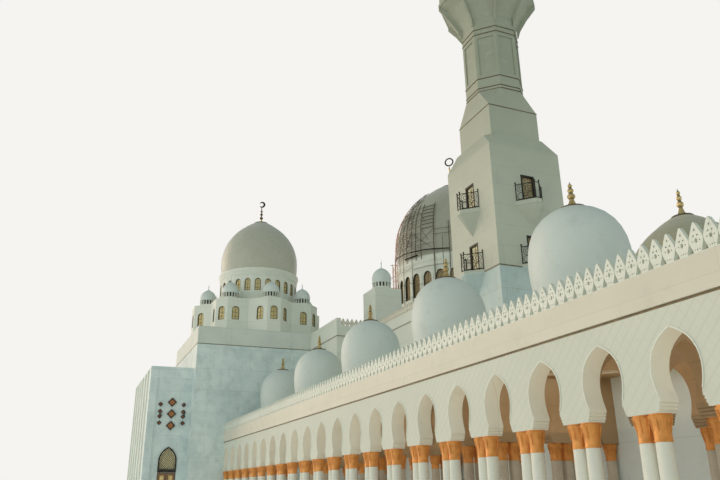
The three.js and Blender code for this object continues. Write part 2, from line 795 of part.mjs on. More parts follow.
// Domed pavilion on the court side of each arcade.
{
  const p = PAVILION;
  const y0 = COURT_WALL;
  const shell = cut(box(p.x - p.half, p.x + p.half, y0, p.y + p.half + 0.1, FLOOR, p.top), [
    box(p.x - p.half + 0.15, p.x + p.half - 0.15, y0 + 0.15, p.y + p.half - 0.05, FLOOR - 1, p.top - 0.15),
    alongX(pointed(0, 0.8, FLOOR - 1, 1.5, 1.95), -3, 3, Math.PI / 2).translate([p.x, p.y + 2.5, 0]),
  ]);
  const base = box(p.x - p.half, p.x + p.half, p.y - 1.2, p.y + p.half + 0.1, ARCADE.roofTop, p.top);
  const dome = turned([
    [0, p.top - 0.02],
    [1.05, p.top - 0.02],
    ...domeProfile(p.radius, 3.3, p.ring),
    [0.07, p.ring + 0.06],
    [0, p.tip],
  ], 12, p.x, p.y);
  bothSides('court_pavilion', join([shell, base, dome]), 'dome');
}

// Scaffold poles and ledgers that follow the drum and lean in over the main dome.
{
  const m = MAIN;
  const c = SCAFFOLD;
  const stations = [[-116, 14.2], [-100, 14.2], [-72, 14.2], [-49, 13.6], [-33, 12.7]];
  const heights = [m.block, c.bend, 12.7, 13.2, 13.6, 14.2];
  const surface = (z) => {
    const share = (z - m.drumTop) / (m.ring - m.drumTop);
    const i = Math.max(1, DOME.findIndex(([, h]) => h >= share));
    const [[r0, h0], [r1, h1]] = [DOME[i - 1], DOME[i]];
    return m.dome * (r0 + ((r1 - r0) * (share - h0)) / (h1 - h0));
  };
  const reach = (z) => (z <= c.bend ? c.radius : Math.min(c.radius, surface(z) + c.off));
  const at = (deg, z) => {
    const a = (deg * Math.PI) / 180;
    return [m.x + reach(z) * Math.cos(a), reach(z) * Math.sin(a), z];
  };
  const bars = [];
  for (const [deg, top] of stations) {
    const line = heights.filter((z) => z < top).concat([top]);
    const outside = line.map((z) => [reach(z) + c.tube / 2, z]);
    const inside = line.map((z) => [reach(z) - c.tube / 2, z]).reverse();
    const post = alongY([...outside, ...inside], -c.tube / 2, c.tube / 2);
    bars.push(post.rotate([0, 0, deg]).translate([m.x, 0, 0]));
  }
  for (let i = 0; i + 1 < stations.length; i += 1) {
    const [[from, a], [to, b]] = [stations[i], stations[i + 1]];
    for (const z of [9.3, 11.1, c.bend, 13.2]) {
      if (z < Math.min(a, b)) {
        bars.push(bar(at(from, z), at(to, z), c.tube * 0.8));
      }
    }
  }
  bars.push(bar(at(-72, 8.4), at(-49, 11.5), c.tube * 0.7));
  place('scaffold', join(bars), 'steel');
}

// One floor under the whole building.
{
  const w = WING;
  const line = [
    [WEST, w.y0],
    [w.x1, w.y0],
    [w.x1, w.y1],
    [TOWER.x1, w.y1],
    [TOWER.x1, ARCADE.front],
    [EAST, ARCADE.front],
    [EAST, COURT_WALL],
    [PAVILION.x + PAVILION.half, COURT_WALL],
    [PAVILION.x + PAVILION.half, PAVILION.y + PAVILION.half + 0.1],
    [PAVILION.x - PAVILION.half, PAVILION.y + PAVILION.half + 0.1],
    [PAVILION.x - PAVILION.half, COURT_WALL],
    [HALL.east, COURT_WALL],
  ];
  const back = [
    [WEST, -w.y1],
    [TOWER.x0, -w.y1],
    [TOWER.x0, -TOWER.y1],
    [WEST, -TOWER.y1],
    [WEST, TOWER.y1],
    [TOWER.x0, TOWER.y1],
    [TOWER.x0, w.y1],
    [WEST, w.y1],
  ];
  place('floor', prism([...line, ...line.map(([x, y]) => [x, -y]).reverse(), ...back], 0, FLOOR), 'floor');
}

export default group;
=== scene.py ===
import math

import bpy
import numpy as np
from mathutils import Matrix, Vector
from mathutils.geometry import tessellate_polygon


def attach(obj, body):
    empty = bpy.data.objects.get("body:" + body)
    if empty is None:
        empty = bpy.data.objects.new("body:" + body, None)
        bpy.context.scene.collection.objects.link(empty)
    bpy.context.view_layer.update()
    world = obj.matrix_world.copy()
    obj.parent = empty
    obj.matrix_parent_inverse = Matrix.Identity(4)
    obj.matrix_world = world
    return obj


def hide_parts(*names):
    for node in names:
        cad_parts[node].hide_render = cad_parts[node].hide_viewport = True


# Lengths are in arcade bays until a piece is made; one bay is 0.36 m.
BAY = 0.36
PI = math.pi

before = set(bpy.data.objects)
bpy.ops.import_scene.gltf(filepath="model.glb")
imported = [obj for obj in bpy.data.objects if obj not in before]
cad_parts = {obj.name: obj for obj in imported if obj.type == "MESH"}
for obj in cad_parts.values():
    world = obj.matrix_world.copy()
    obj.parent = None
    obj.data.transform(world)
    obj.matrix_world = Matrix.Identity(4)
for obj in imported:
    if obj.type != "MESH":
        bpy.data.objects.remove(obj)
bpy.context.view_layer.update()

EAST = 14.84
WEST = -14.84
# Arcade: outer and inner face of its front, its back, its west end and the first of its arches.
FRONT = -11.54
INSIDE = -11.31
DEEP = INSIDE - FRONT
BACK = -8.33
ARCADE_WEST = -8.39
FIRST = -7.87
ARCHES = 23
AISLE = -9.88
DOME_PLACES = [-6.87 + 4 * k for k in range(6)]
# Heights: floor, top of the capitals, of the arcade wall, of its ceiling, of its roof and of its parapet.
FLOOR = 0.05
CAPITAL = 1.097
WALL_TOP = 2.07
CEILING = 2.25
ROOF = 2.37
PARAPET = 2.444
# Bronze line that runs round the hall, the towers and the minarets.
LINE = (5.572, 5.594)
# Court side of the arcade, east end of the hall's jog by the tower, and the hall's east front.
COURT = -6.8
STEP = -5.49
CORNER = 3.555
# Tower: the sides of its base, and its middle.
TOWER_BOX = (-13.84, -8.39, -12.72, -6.98)
TOWER = (-11.115, -9.85)
WING_FACE = -8.99
DOOR_MIDDLE = -13.3775
# Middle of the main dome, of the minaret and of the court pavilion.
MAIN_X = -10.99
MINARET = (2.46, -6.37)
MINARET_HALF = 1.095
PAVILION = (8.4, -6.72)


# Materials, numbered in the order in which they are made.

MATERIALS = []


def wire(tree, target, sockets):
    """Sets a node's sockets to numbers or colours, or links them to other nodes' outputs."""
    for key, value in sockets.items():
        socket = target.inputs[key]
        if isinstance(value, bpy.types.NodeSocket):
            tree.links.new(value, socket)
        elif isinstance(value, tuple) and len(socket.default_value) == 4:
            socket.default_value = (*value, 1)
        else:
            socket.default_value = value


def node(tree, kind, sockets, **settings):
    """Adds a node, sets it up and gives its outputs."""
    made = tree.nodes.new(kind)
    for key, value in settings.items():
        setattr(made, key, value)
    wire(tree, made, sockets)
    return made.outputs


def new_material(name):
    """A material, its node tree, its shader and the object's own coordinates."""
    material = bpy.data.materials.new(name)
    material.use_nodes = True
    tree = material.node_tree
    MATERIALS.append(material)
    return material, tree, tree.nodes["Principled BSDF"], node(tree, "ShaderNodeTexCoord", {})["Object"]


def calc(tree, operation, *values):
    """Result of one sum, comparison or other piece of arithmetic."""
    return node(tree, "ShaderNodeMath", dict(enumerate(values)), operation=operation)[0]


def mixed(tree, factor, a, b, blend="MIX"):
    """Colour a where factor is 0 and b where it is 1."""
    return node(tree, "ShaderNodeMix", {0: factor, 6: a, 7: b}, data_type="RGBA", blend_type=blend)[2]


def noise(tree, place, scale, detail=4, roughness=0.6):
    sockets = {"Vector": place, "Scale": scale, "Detail": detail, "Roughness": roughness}
    return node(tree, "ShaderNodeTexNoise", sockets)["Fac"]


def ramp(tree, value, low, high):
    """Runs from 0 to 1 as value runs from low to high."""
    return node(tree, "ShaderNodeMapRange", {"Value": value, "From Min": low, "From Max": high})["Result"]


def split(tree, vector):
    return node(tree, "ShaderNodeSeparateXYZ", {0: vector})


def run_and_height(tree, place):
    """Coordinates for courses: distance along the wall, then height."""
    x, y, z = split(tree, place)
    return node(tree, "ShaderNodeCombineXYZ", {0: calc(tree, "ADD", x, y), 1: z})[0]


def courses(tree, place, width, height, gap):
    return node(tree, "ShaderNodeTexBrick", {
        "Vector": run_and_height(tree, place), "Scale": 1, "Brick Width": width, "Row Height": height,
        "Mortar Size": gap, "Mortar Smooth": 0.3, "Color1": (1, 1, 1), "Color2": (0.8, 0.8, 0.8),
        "Mortar": (0, 0, 0),
    })


def bump(tree, shader, height, strength, distance):
    sockets = {"Height": height, "Strength": strength, "Distance": distance}
    wire(tree, shader, {"Normal": node(tree, "ShaderNodeBump", sockets)[0]})


def darker(colour, share):
    """The colour with each of its parts cut to a share."""
    return tuple(c * share for c in colour)


def stone(name, light, dark, joint, size=(0.4, 0.2), gap=0.0018, mottle=2.0, grain=0.25, low=None, darker_high=None):
    """Cladding slabs: two tones mottled, a slightly different tone a slab, and fine joints.

    low is a light and a dark tone and the height under which they show. The last argument is a light and a
    dark tone and the heights between which the stone turns to them: darker higher up.
    """
    material, tree, shader, place = new_material(name)
    clouds = ramp(tree, noise(tree, place, mottle, 6, 0.62), 0.32, 0.68)
    slabs = courses(tree, place, *size, gap)
    body = mixed(tree, clouds, light, dark)
    if low:
        height = split(tree, place)[2]
        if darker_high:
            body = mixed(tree, ramp(tree, height, *darker_high[2:]), body, mixed(tree, clouds, *darker_high[:2]))
        veins = ramp(tree, noise(tree, place, 4.5, 7, 0.66), 0.35, 0.65)
        body = mixed(tree, calc(tree, "LESS_THAN", height, low[2]), body, mixed(tree, veins, *low[:2]))
    toned = mixed(tree, 0.12, body, slabs["Color"], "MULTIPLY")
    stains = ramp(tree, noise(tree, place, 9.0, 5, 0.7), 0.55, 0.8)
    worn = mixed(tree, stains, toned, darker(dark, 0.9))
    fine = noise(tree, place, 130, 3)
    wire(tree, shader, {
        "Base Color": mixed(tree, slabs["Fac"], worn, joint), "Roughness": ramp(tree, fine, -1.5, 2.5),
    })
    bump(tree, shader, calc(tree, "SUBTRACT", fine, slabs["Fac"]), grain, 0.0012)
    return material


def slanting(tree, along, up, rise):
    """Thin lines on a wall that climb along the run at the given rise."""
    tilted = calc(tree, "MULTIPLY_ADD", along, -rise, up)
    return ramp(tree, calc(tree, "PINGPONG", calc(tree, "DIVIDE", tilted, 0.054), 0.5), 0.36, 0.5)


def relief_wall(name, light, dark):
    """White arcade wall with fine slanting grooves that cross into a faint lattice; the grooves are also
    darkened in colour, as painted shade.
    """
    material, tree, shader, place = new_material(name)
    body = mixed(tree, ramp(tree, noise(tree, place, 3.0, 6), 0.3, 0.7), light, dark)
    along, up, _ = split(tree, run_and_height(tree, place))
    cross = calc(tree, "MULTIPLY", slanting(tree, along, up, -1.25), 0.45)
    groove = calc(tree, "MAXIMUM", slanting(tree, along, up, 1.0), cross)
    shade = calc(tree, "MULTIPLY", groove, 0.4)
    wire(tree, shader, {"Base Color": mixed(tree, shade, body, darker(dark, 0.84)), "Roughness": 0.6})
    bump(tree, shader, groove, -0.5, 0.003)
    return material


def tiles(name, light, dark, joint):
    """Small dome tiles in rings, with cloudy changes of tone."""
    material, tree, shader, place = new_material(name)
    rings = courses(tree, place, 0.049, 0.035, 0.0015)["Fac"]
    cells = node(tree, "ShaderNodeTexVoronoi", {"Vector": place, "Scale": 24})["Color"]
    body = mixed(tree, ramp(tree, noise(tree, place, 1.6, 5), 0.3, 0.7), light, dark)
    single = mixed(tree, ramp(tree, cells, 0.0, 3.2), body, darker(dark, 0.7))
    tone = mixed(tree, ramp(tree, rings, 0, 1.8), single, joint)
    wire(tree, shader, {"Base Color": tone, "Roughness": 0.35, "Sheen Weight": 0.4})
    bump(tree, shader, rings, -0.25, 0.001)
    return material


def metal(name, light, dark, rough, metallic, scale, depth=0.15):
    """Worn metal or paint in two tones."""
    material, tree, shader, place = new_material(name)
    worn = ramp(tree, noise(tree, place, scale, 5, 0.65), 0.35, 0.7)
    wire(tree, shader, {
        "Base Color": mixed(tree, worn, light, dark), "Metallic": metallic,
        "Roughness": ramp(tree, noise(tree, place, scale * 2.5), -rough * 2, 2.2),
    })
    bump(tree, shader, worn, depth, 0.0008)
    return material


def grille(name, bright, dark, scale, metallic=0.35):
    """Window lattice: bright bars on a darker ground."""
    material, tree, shader, place = new_material(name)
    cells = node(tree, "ShaderNodeTexVoronoi", {"Vector": place, "Scale": scale}, feature="DISTANCE_TO_EDGE")
    bars = ramp(tree, cells["Distance"], 0.05, 0.16)
    sockets = {"Vector": place, "Scale": scale * 0.4, "Distortion": 3}
    swirl = node(tree, "ShaderNodeTexWave", sockets, wave_type="RINGS")["Fac"]
    ground = mixed(tree, ramp(tree, swirl, 0.35, 0.7), dark, bright)
    tone = mixed(tree, bars, bright, ground)
    wire(tree, shader, {"Base Color": tone, "Metallic": metallic, "Roughness": 0.42})
    bump(tree, shader, bars, -0.5, 0.002)
    return material


def timber(name, light, dark):
    """Wood with its grain upright."""
    material, tree, shader, place = new_material(name)
    stretched = node(tree, "ShaderNodeMapping", {"Vector": place, "Scale": (60, 60, 4)})[0]
    grain = noise(tree, stretched, 1.5, 6, 0.7)
    tone = mixed(tree, ramp(tree, grain, 0.3, 0.7), light, dark)
    wire(tree, shader, {"Base Color": tone, "Roughness": 0.45})
    bump(tree, shader, grain, 0.3, 0.0008)
    return material


# Length and height of the slabs; SMALL and PLAIN also give the width of the joints.
LONG, TALL = (0.9, 0.2), (0.9, 0.4)
SMALL, PLAIN = ((0.55, 0.28), 0.0014), ((9, 9), 0.0001)
LOW_MARBLE = ((0.80, 0.89, 0.87), (0.60, 0.72, 0.72))
WALL = stone("white_cladding", (0.84, 0.86, 0.77), (0.77, 0.80, 0.71), (0.62, 0.65, 0.58), LONG, 0.0016)
FACING = stone("minaret_cladding", (0.57, 0.59, 0.49), (0.51, 0.54, 0.45), (0.42, 0.45, 0.37), LONG, 0.0016,
               low=((0.60, 0.71, 0.69), (0.50, 0.62, 0.61), 5.583 * BAY),
               darker_high=((0.385, 0.41, 0.31), (0.34, 0.365, 0.28), 7.5 * BAY, 12.0 * BAY))
MARBLE = stone("grey_marble", *LOW_MARBLE, (0.50, 0.60, 0.60), *SMALL, 4.5)
TOWER_STONE = stone("tower_cladding", (0.74, 0.78, 0.71), (0.66, 0.71, 0.65), (0.52, 0.56, 0.52), *SMALL,
                    low=(*LOW_MARBLE, 5.58 * BAY))
SHADED = stone("inner_marble", (0.81, 0.92, 0.925), (0.75, 0.87, 0.885), (0.62, 0.73, 0.74), TALL, 0.0014, 3)
CREAM = stone("cream_band", (0.76, 0.72, 0.60), (0.70, 0.67, 0.56), (0.62, 0.59, 0.50), TALL, 0.001, 2.5)
RIPPLED = relief_wall("rippled_wall", (0.70, 0.725, 0.63), (0.65, 0.68, 0.59))
SHAFT = stone("white_shaft", (0.80, 0.81, 0.72), (0.75, 0.76, 0.68), (0.7, 0.7, 0.6), *PLAIN, 14, 0.1)
# A darker copy of the white shaft for the columns inside the aisles: painted shade.
SHAFT_IN_SHADE = stone("shaft_painted_shade", (0.60, 0.55, 0.45), (0.50, 0.46, 0.37), (0.4, 0.36, 0.3), *PLAIN, 14, 0.1)
PLASTER = stone("dome_plaster", (0.75, 0.81, 0.765), (0.70, 0.76, 0.72), (0.6, 0.66, 0.6), *PLAIN, 3, 0.1)
# A lighter, warmer copy of the white wall stone for the arch reveals: painted bounce light.
LIT_REVEAL = stone("arch_reveal_painted_light", (0.94, 0.92, 0.80), (0.90, 0.88, 0.76), (0.7, 0.68, 0.58), TALL, 0.001, 3, 0.1)
# Dark warm brown for the cross arches and aisle ceilings: painted shade, tinted warm as by low sunlight.
WARM_SHADE = stone("inner_stone_painted_warm_shade", (0.50, 0.35, 0.20), (0.40, 0.28, 0.15), (0.32, 0.22, 0.12), LONG, 0.001, 3)
TILES = tiles("dome_tiles", (0.60, 0.59, 0.48), (0.52, 0.52, 0.42), (0.38, 0.38, 0.30))
SLATE = tiles("main_dome_tiles", (0.50, 0.49, 0.38), (0.41, 0.41, 0.325), (0.29, 0.29, 0.23))
OLIVE = tiles("pavilion_tiles", (0.51, 0.48, 0.31), (0.41, 0.395, 0.265), (0.29, 0.27, 0.19))
COPPER = metal("capital_copper", (0.86, 0.38, 0.10), (0.60, 0.24, 0.05), 0.42, 0.3, 26, 0.3)
GOLD = metal("gilded_metal", (0.86, 0.66, 0.33), (0.52, 0.36, 0.15), 0.28, 0.8, 30)
IRON = metal("dark_iron", (0.050, 0.042, 0.034), (0.025, 0.022, 0.019), 0.5, 0.5, 50)
BRASS = metal("pale_brass", (0.62, 0.56, 0.36), (0.44, 0.38, 0.22), 0.4, 0.3, 30)
BRONZE = metal("bronze_strip", (0.20, 0.155, 0.08), (0.12, 0.09, 0.05), 0.5, 0.4, 20)
TUBE = metal("scaffold_tube", (0.115, 0.11, 0.08), (0.16, 0.125, 0.085), 0.6, 0.3, 30)
# Orange tubes on the west side of the scaffold: painted low warm sunlight.
SUNLIT_TUBE = metal("tube_painted_sunlight", (0.74, 0.43, 0.28), (0.48, 0.27, 0.17), 0.65, 0.0, 30)
GILT = grille("gilt_grille", (0.76, 0.62, 0.30), (0.30, 0.24, 0.12), 60)
GLASS = grille("gilt_glass", (0.98, 0.90, 0.58), (0.84, 0.72, 0.42), 26, 0.0)
SMOKED = grille("dark_glass", (0.42, 0.31, 0.15), (0.10, 0.07, 0.04), 34, 0.1)
CARVED = grille("carved_lattice", (0.42, 0.17, 0.085), (0.13, 0.055, 0.032), 70)
WOOD = timber("carved_door", (0.36, 0.21, 0.10), (0.16, 0.085, 0.04))
PAVING = stone("honed_floor", (0.86, 0.85, 0.79), (0.78, 0.77, 0.72), (0.55, 0.55, 0.5),
               (0.22, 0.22), 0.002, 2)
# Near-black material for painted shade: the dark cores of the open lanterns and turrets, and the dark sides
# and slots of the drum windows.
PAINTED_SHADE = metal("painted_shade_recess", (0.05, 0.048, 0.04), (0.03, 0.03, 0.026), 0.9, 0.0, 12)


# Meshes.

def turns(n, start=0.0):
    """Angles of n even turns."""
    return [start + 2 * PI * k / n for k in range(n)]


class Geo:
    """Corners and faces of a piece, in bays."""

    def __init__(self):
        self.parts = []
        self.count = 0

    def add(self, corners, faces, material):
        corners = np.asarray(corners, float).reshape(-1, 3)
        sizes = np.array([len(f) for f in faces], int)
        loops = np.array([i for f in faces for i in f], int)
        numbers = np.full(len(faces), MATERIALS.index(material))
        self.parts.append((corners, sizes, loops + self.count, numbers))
        self.count += len(corners)
        return self

    def merged(self):
        if len(self.parts) > 1:
            self.parts = [tuple(np.concatenate([p[k] for p in self.parts]) for k in range(4))]
        return self.parts[0]

    def extend(self, other, places=((0, 0, 0, 0),)):
        """Copies of other, each turned by an angle about the vertical and then moved."""
        corners, sizes, loops, mats = other.merged()
        for angle, dx, dy, dz in places:
            c, s = math.cos(angle), math.sin(angle)
            turned = np.column_stack((
                corners[:, 0] * c - corners[:, 1] * s + dx,
                corners[:, 0] * s + corners[:, 1] * c + dy,
                corners[:, 2] + dz,
            ))
            self.parts.append((turned, sizes, loops + self.count, mats))
            self.count += len(corners)
        return self

    def box(self, x0, x1, y0, y1, z0, z1, material):
        corners = [(x, y, z) for x in (x0, x1) for y in (y0, y1) for z in (z0, z1)]
        faces = [(0, 1, 3, 2), (4, 6, 7, 5), (0, 4, 5, 1), (2, 3, 7, 6), (0, 2, 6, 4), (1, 5, 7, 3)]
        return self.add(corners, faces, material)

    def skin(self, rows, material, ends=()):
        """Faces between closed rows of corners, any of which may shrink to a point."""
        n, faces = len(rows[0]), []
        for j, (low, high) in enumerate(zip(rows, rows[1:])):
            for k in range(n):
                a, b = j * n + k, j * n + (k + 1) % n
                if low[0] == low[1]:
                    faces.append((j * n, b + n, a + n))
                elif high[0] == high[1]:
                    faces.append((a, b, j * n + n))
                else:
                    faces.append((a, b, b + n, a + n))
        return self.add(rows, [*faces, *ends], material)

    def lathe(self, profile, sides, material, x=0.0, y=0.0, turn=0.0, wide=1.0):
        """A turned shape from (radius, height) pairs, lowest first; wide is a factor of the radii."""
        rows = []
        for share, z in profile:
            r = share * wide
            rows.append([(x + r * math.cos(a), y + r * math.sin(a), z) for a in turns(sides, turn)])
        return self.skin(rows, material)

    def panel(self, outline, y0, y1, material, holes=(), edge=None):
        """A flat plate drawn in x and z, its front at y0 and its back at y1; outline runs anticlockwise."""
        loops = [outline, *holes]
        flat = [point for loop in loops for point in loop]
        triangles = tessellate_polygon([[Vector((a, b, 0)) for a, b in loop] for loop in loops])
        n = len(flat)
        corners = [(a, y0, b) for a, b in flat] + [(a, y1, b) for a, b in flat]
        faces = []
        for i, j, k in triangles:
            area = (flat[j][0] - flat[i][0]) * (flat[k][1] - flat[i][1]) \
                - (flat[k][0] - flat[i][0]) * (flat[j][1] - flat[i][1])
            if area < 0:
                j, k = k, j
            faces += [(i, j, k), (n + i, n + k, n + j)]
        self.add(corners, faces, material)
        start, sides = 0, []
        for loop in loops:
            m = len(loop)
            area = sum(a * d - c * b for (a, b), (c, d) in zip(loop, loop[1:] + loop[:1]))
            for i in range(m):
                a, b = start + i, start + (i + 1) % m
                if (area > 0) != (loop is outline):
                    a, b = b, a
                sides.append((a, n + a, n + b, b))
            start += m
        return self.add(corners, sides, edge or material)

    def prism(self, outline, z0, z1, material, holes=(), edge=None):
        """A plan outline raised from z0 to z1."""
        flat = Geo().panel(outline, 0, z1 - z0, material, holes, edge)
        for corners, sizes, loops, mats in flat.parts:
            up = np.column_stack((corners[:, 0], corners[:, 2], z1 - corners[:, 1]))
            self.parts.append((up, sizes, loops + self.count, mats))
        self.count += flat.count
        return self

    def bar(self, a, b, radius, material, sides=6):
        """A straight rod with closed ends."""
        a, b = Vector(a), Vector(b)
        turn = (b - a).to_track_quat("Z", "Y")
        rim = [turn @ Vector((radius * math.cos(t), radius * math.sin(t), 0)) for t in turns(sides)]
        rows = [[tuple(end + corner) for corner in rim] for end in (a, b)]
        return self.skin(rows, material, [range(sides)[::-1], range(sides, 2 * sides)])

    def ring(self, centre, radius, thick, material, angle, steps, arc=None):
        """An upright hoop, or a crescent with thin ends where arc gives its start and end."""
        start, end = arc or (0, 2 * PI)
        rows = []
        for i in range(steps + 1):
            t = start + (end - start) * i / steps
            w = thick * (0.12 + 0.88 * math.sin(PI * i / steps) ** 0.7) if arc else thick
            row = []
            for u in turns(6):
                r = radius + w * math.cos(u)
                side = thick * 0.6 * math.sin(u)
                row.append((
                    centre[0] + r * math.cos(t) * math.cos(angle) - side * math.sin(angle),
                    centre[1] + r * math.cos(t) * math.sin(angle) + side * math.cos(angle),
                    centre[2] + r * math.sin(t),
                ))
            rows.append(row)
        return self.skin(rows, material)


def piece(name, geo, replaces=(), body="root", mirrored=False):
    """Makes the Blender object of a Geo, riding on a CAD body."""
    corners, sizes, loops, mats = geo.merged()
    faces = np.split(loops, np.cumsum(sizes)[:-1])
    if mirrored:
        corners = corners * (1, -1, 1)
        faces = [face[::-1] for face in faces]
    used, slots = np.unique(mats, return_inverse=True)
    mesh = bpy.data.meshes.new(name)
    mesh.from_pydata(corners * BAY, [], faces, shade_flat=False)
    mesh.polygons.foreach_set("material_index", slots.astype(np.int32).ravel())
    for number in used:
        mesh.materials.append(MATERIALS[number])
    mesh.validate()
    mesh.set_sharp_from_angle(angle=math.radians(35))
    made = bpy.data.objects.new(name, mesh)
    bpy.context.scene.collection.objects.link(made)
    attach(made, body)
    if replaces:
        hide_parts(*replaces)
    return made


def both(name, geo, replaces=()):
    """The piece on the south side and its mirror image on the north side."""
    for side, mirrored in (("south", False), ("north", True)):
        replaced = [f"{start}_{side}" for start in replaces]
        piece(f"{name}_{side}", geo, replaced, mirrored=mirrored)


def circle(x, z, r, n=8, tall=1.0):
    return [(x + r * math.cos(t), z + r * tall * math.sin(t)) for t in turns(n)]


def rect(x0, x1, z0, z1):
    return [(x0, z0), (x1, z0), (x1, z1), (x0, z1)]


def both_sides(right):
    """The right half of an outline up to its apex, and then its mirror image."""
    return right + [(-x, z) for x, z in reversed(right[:-1])]


def around(half):
    """A plan outline from its southern half."""
    return half + [(x, -y) for x, y in reversed(half)]


def side_of(p, q):
    """Length, angle and middle of the line from p to q."""
    (ax, ay), (bx, by) = p, q
    return math.hypot(bx - ax, by - ay), math.atan2(by - ay, bx - ax), ((ax + bx) / 2, (ay + by) / 2)


def facing(angle, r, x=0.0, y=0.0):
    """Place of a unit whose own -y should look outward along angle, r out from the centre."""
    return (angle + PI / 2, x + r * math.cos(angle), y + r * math.sin(angle), 0)


# Parapet leaves.

LEAF = [(0.046, 0), (0.049, 0.03), (0.064, 0.062), (0.077, 0.1), (0.081, 0.135), (0.073, 0.165), (0.058, 0.2),
        (0.042, 0.235), (0.026, 0.27), (0.011, 0.298), (0.003, 0.31)]
# Holes of a leaf: across, height, radius, sides and how much taller than wide.
LEAF_HOLES = [(0, 0.222, 0.011, 6, 1.3), (0.022, 0.165, 0.011, 6, 1), (0, 0.115, 0.017, 8, 1.5),
              (0.04, 0.115, 0.008, 6, 1), (0, 0.03, 0.008, 6, 1), (0.026, 0.03, 0.006, 6, 1)]


def leaf(height, pierced=False):
    """One pointed parapet leaf, its foot at z 0."""
    scale = height / 0.31
    right = [(x, z * scale) for x, z in LEAF]
    outline = right + [(-x, z) for x, z in reversed(right)]
    holes = []
    if pierced:
        for x, *rest in LEAF_HOLES:
            holes += [circle(across, *rest) for across in ((-x, x) if x else (0,))]
    return Geo().panel(outline, 0, 0.05, WALL if pierced else CREAM, holes)


def leaf_places(x0, y0, x1, y1, z, angle):
    """Even places along a line, for leaves whose front faces along their own -y."""
    count = max(1, round(math.hypot(x1 - x0, y1 - y0) / 0.165))
    shares = [(k + 0.5) / count for k in range(count)]
    return [(angle, x0 + (x1 - x0) * share, y0 + (y1 - y0) * share, z) for share in shares]


# Arcades.

ARCH = [(0.29, CAPITAL), (0.284, 1.116), (0.289, 1.118), (0.289, 1.123), (0.272, 1.126), (0.272, 1.15),
        (0.277, 1.152), (0.277, 1.157), (0.26, 1.16), (0.26, 1.184), (0.265, 1.186), (0.265, 1.191),
        (0.247, 1.194), (0.247, 1.232), (0.256, 1.262), (0.272, 1.31), (0.286, 1.37), (0.295, 1.43),
        (0.297, 1.49), (0.289, 1.555), (0.268, 1.625), (0.235, 1.688), (0.19, 1.744), (0.135, 1.791),
        (0.072, 1.83), (0.02, 1.856), (0, 1.864)]
# First corner of the arch above its stepped foot, and of the part of its rim that also rises.
ABOVE_FOOT = 14
RISING = 6
TWIN = (-0.105, 0.105)


def arch_bay(wall, reveal, rim=True):
    """One bay of arcade wall, its front at y 0 and the arch centred on x 0."""
    top = [(0.5, WALL_TOP), (-0.5, WALL_TOP)]
    outline = [(-0.5, CAPITAL), *reversed(both_sides(ARCH)), (0.5, CAPITAL), *top]
    geo = Geo().panel(outline, 0, DEEP, wall, edge=reveal)
    if not rim:
        return geo
    inner = ARCH[ABOVE_FOOT:]
    lip = [(x + 0.011, z + (0.010 if i >= RISING else 0)) for i, (x, z) in enumerate(inner)]
    lip[-1] = (inner[-1][0], lip[-1][1])
    strip, outer = both_sides(inner), both_sides(lip)
    corners, faces = [], []
    for (a, b), (c, d) in zip(strip, outer):
        corners += [(a, 0, b), (a, -0.009, b), (c, -0.009, d), (c, 0, d)]
    for i in range(0, 4 * (len(strip) - 1), 4):
        faces += [(i + k, i + 4 + k, i + 5 + k, i + 1 + k) for k in range(3)]
    return geo.add(corners, faces, WALL)


def column(shaft):
    """A shaft with its base, collar and flared capital."""
    r = 0.084
    geo = Geo().lathe([
        (0, FLOOR), (1.28, FLOOR), (1.28, 0.075), (1.2, 0.085), (1.22, 0.11), (1.08, 0.125), (1.06, 0.14),
        (1, 0.155), (1, 0.5), (0.96, 0.838),
    ], 14, shaft, wide=r)
    geo.lathe([
        (0.99, 0.834), (1.05, 0.84), (1.05, 0.852), (1, 0.86), (1, 0.9), (1.04, 0.95), (1.12, 0.995),
        (1.24, 1.035), (1.37, 1.062), (1.4, 1.078), (1.3, 1.084), (1.3, CAPITAL), (0, CAPITAL),
    ], 14, COPPER, wide=r)
    for a in turns(8, PI / 8):
        c, s = math.cos(a), math.sin(a)
        geo.bar((r * 1.03 * c, r * 1.03 * s, 0.93), (r * 1.35 * c, r * 1.35 * s, 1.055), 0.006, COPPER, 4)
    return geo


front = Geo()
front.extend(arch_bay(RIPPLED, LIT_REVEAL), [(0, FIRST + i, FRONT, 0) for i in range(ARCHES)])
for x0, x1 in ((ARCADE_WEST, FIRST - 0.5), (FIRST + ARCHES - 0.5, EAST)):
    front.box(x0, x1, FRONT, INSIDE, CAPITAL, WALL_TOP, WALL)
# The first box, a dark bronze strip just under the cream band's projecting edge, is painted shadow under the
# band.
for y0, y1, z0, z1, material in ((-0.004, DEEP, 2.066, 2.09, BRONZE), (-0.03, 0.12, 2.09, PARAPET, CREAM),
                                 (0.12, DEEP, 2.09, CEILING, WALL), (-0.018, 0.06, PARAPET, 2.456, WALL)):
    front.box(ARCADE_WEST, EAST, FRONT + y0, FRONT + y1, z0, z1, material)
front.extend(leaf(0.298, True), leaf_places(ARCADE_WEST, FRONT - 0.01, EAST, FRONT - 0.01, 2.456, 0))
both("arcade_walls", front, ["arcade_front_west", "arcade_front_mid", "arcade_front_east"])

columns = Geo()
shafts = column(SHAFT)
places = [FIRST - 0.5 + i + dx for i in range(ARCHES + 1) for dx in TWIN]
columns.extend(shafts, [(0, x, FRONT + 0.115, 0) for x in places if ARCADE_WEST < x < EAST])
both("arcade_columns", columns)

CROSS_PLANES = (-5.37, -4.37, -1.37, -0.37, 2.63, 3.63, 6.63, 7.63, 10.63, 11.63)
CROSS_ARCHES = (-10.93, -9.93, -8.93)
CROSS_PIERS = (-10.43, -9.43)


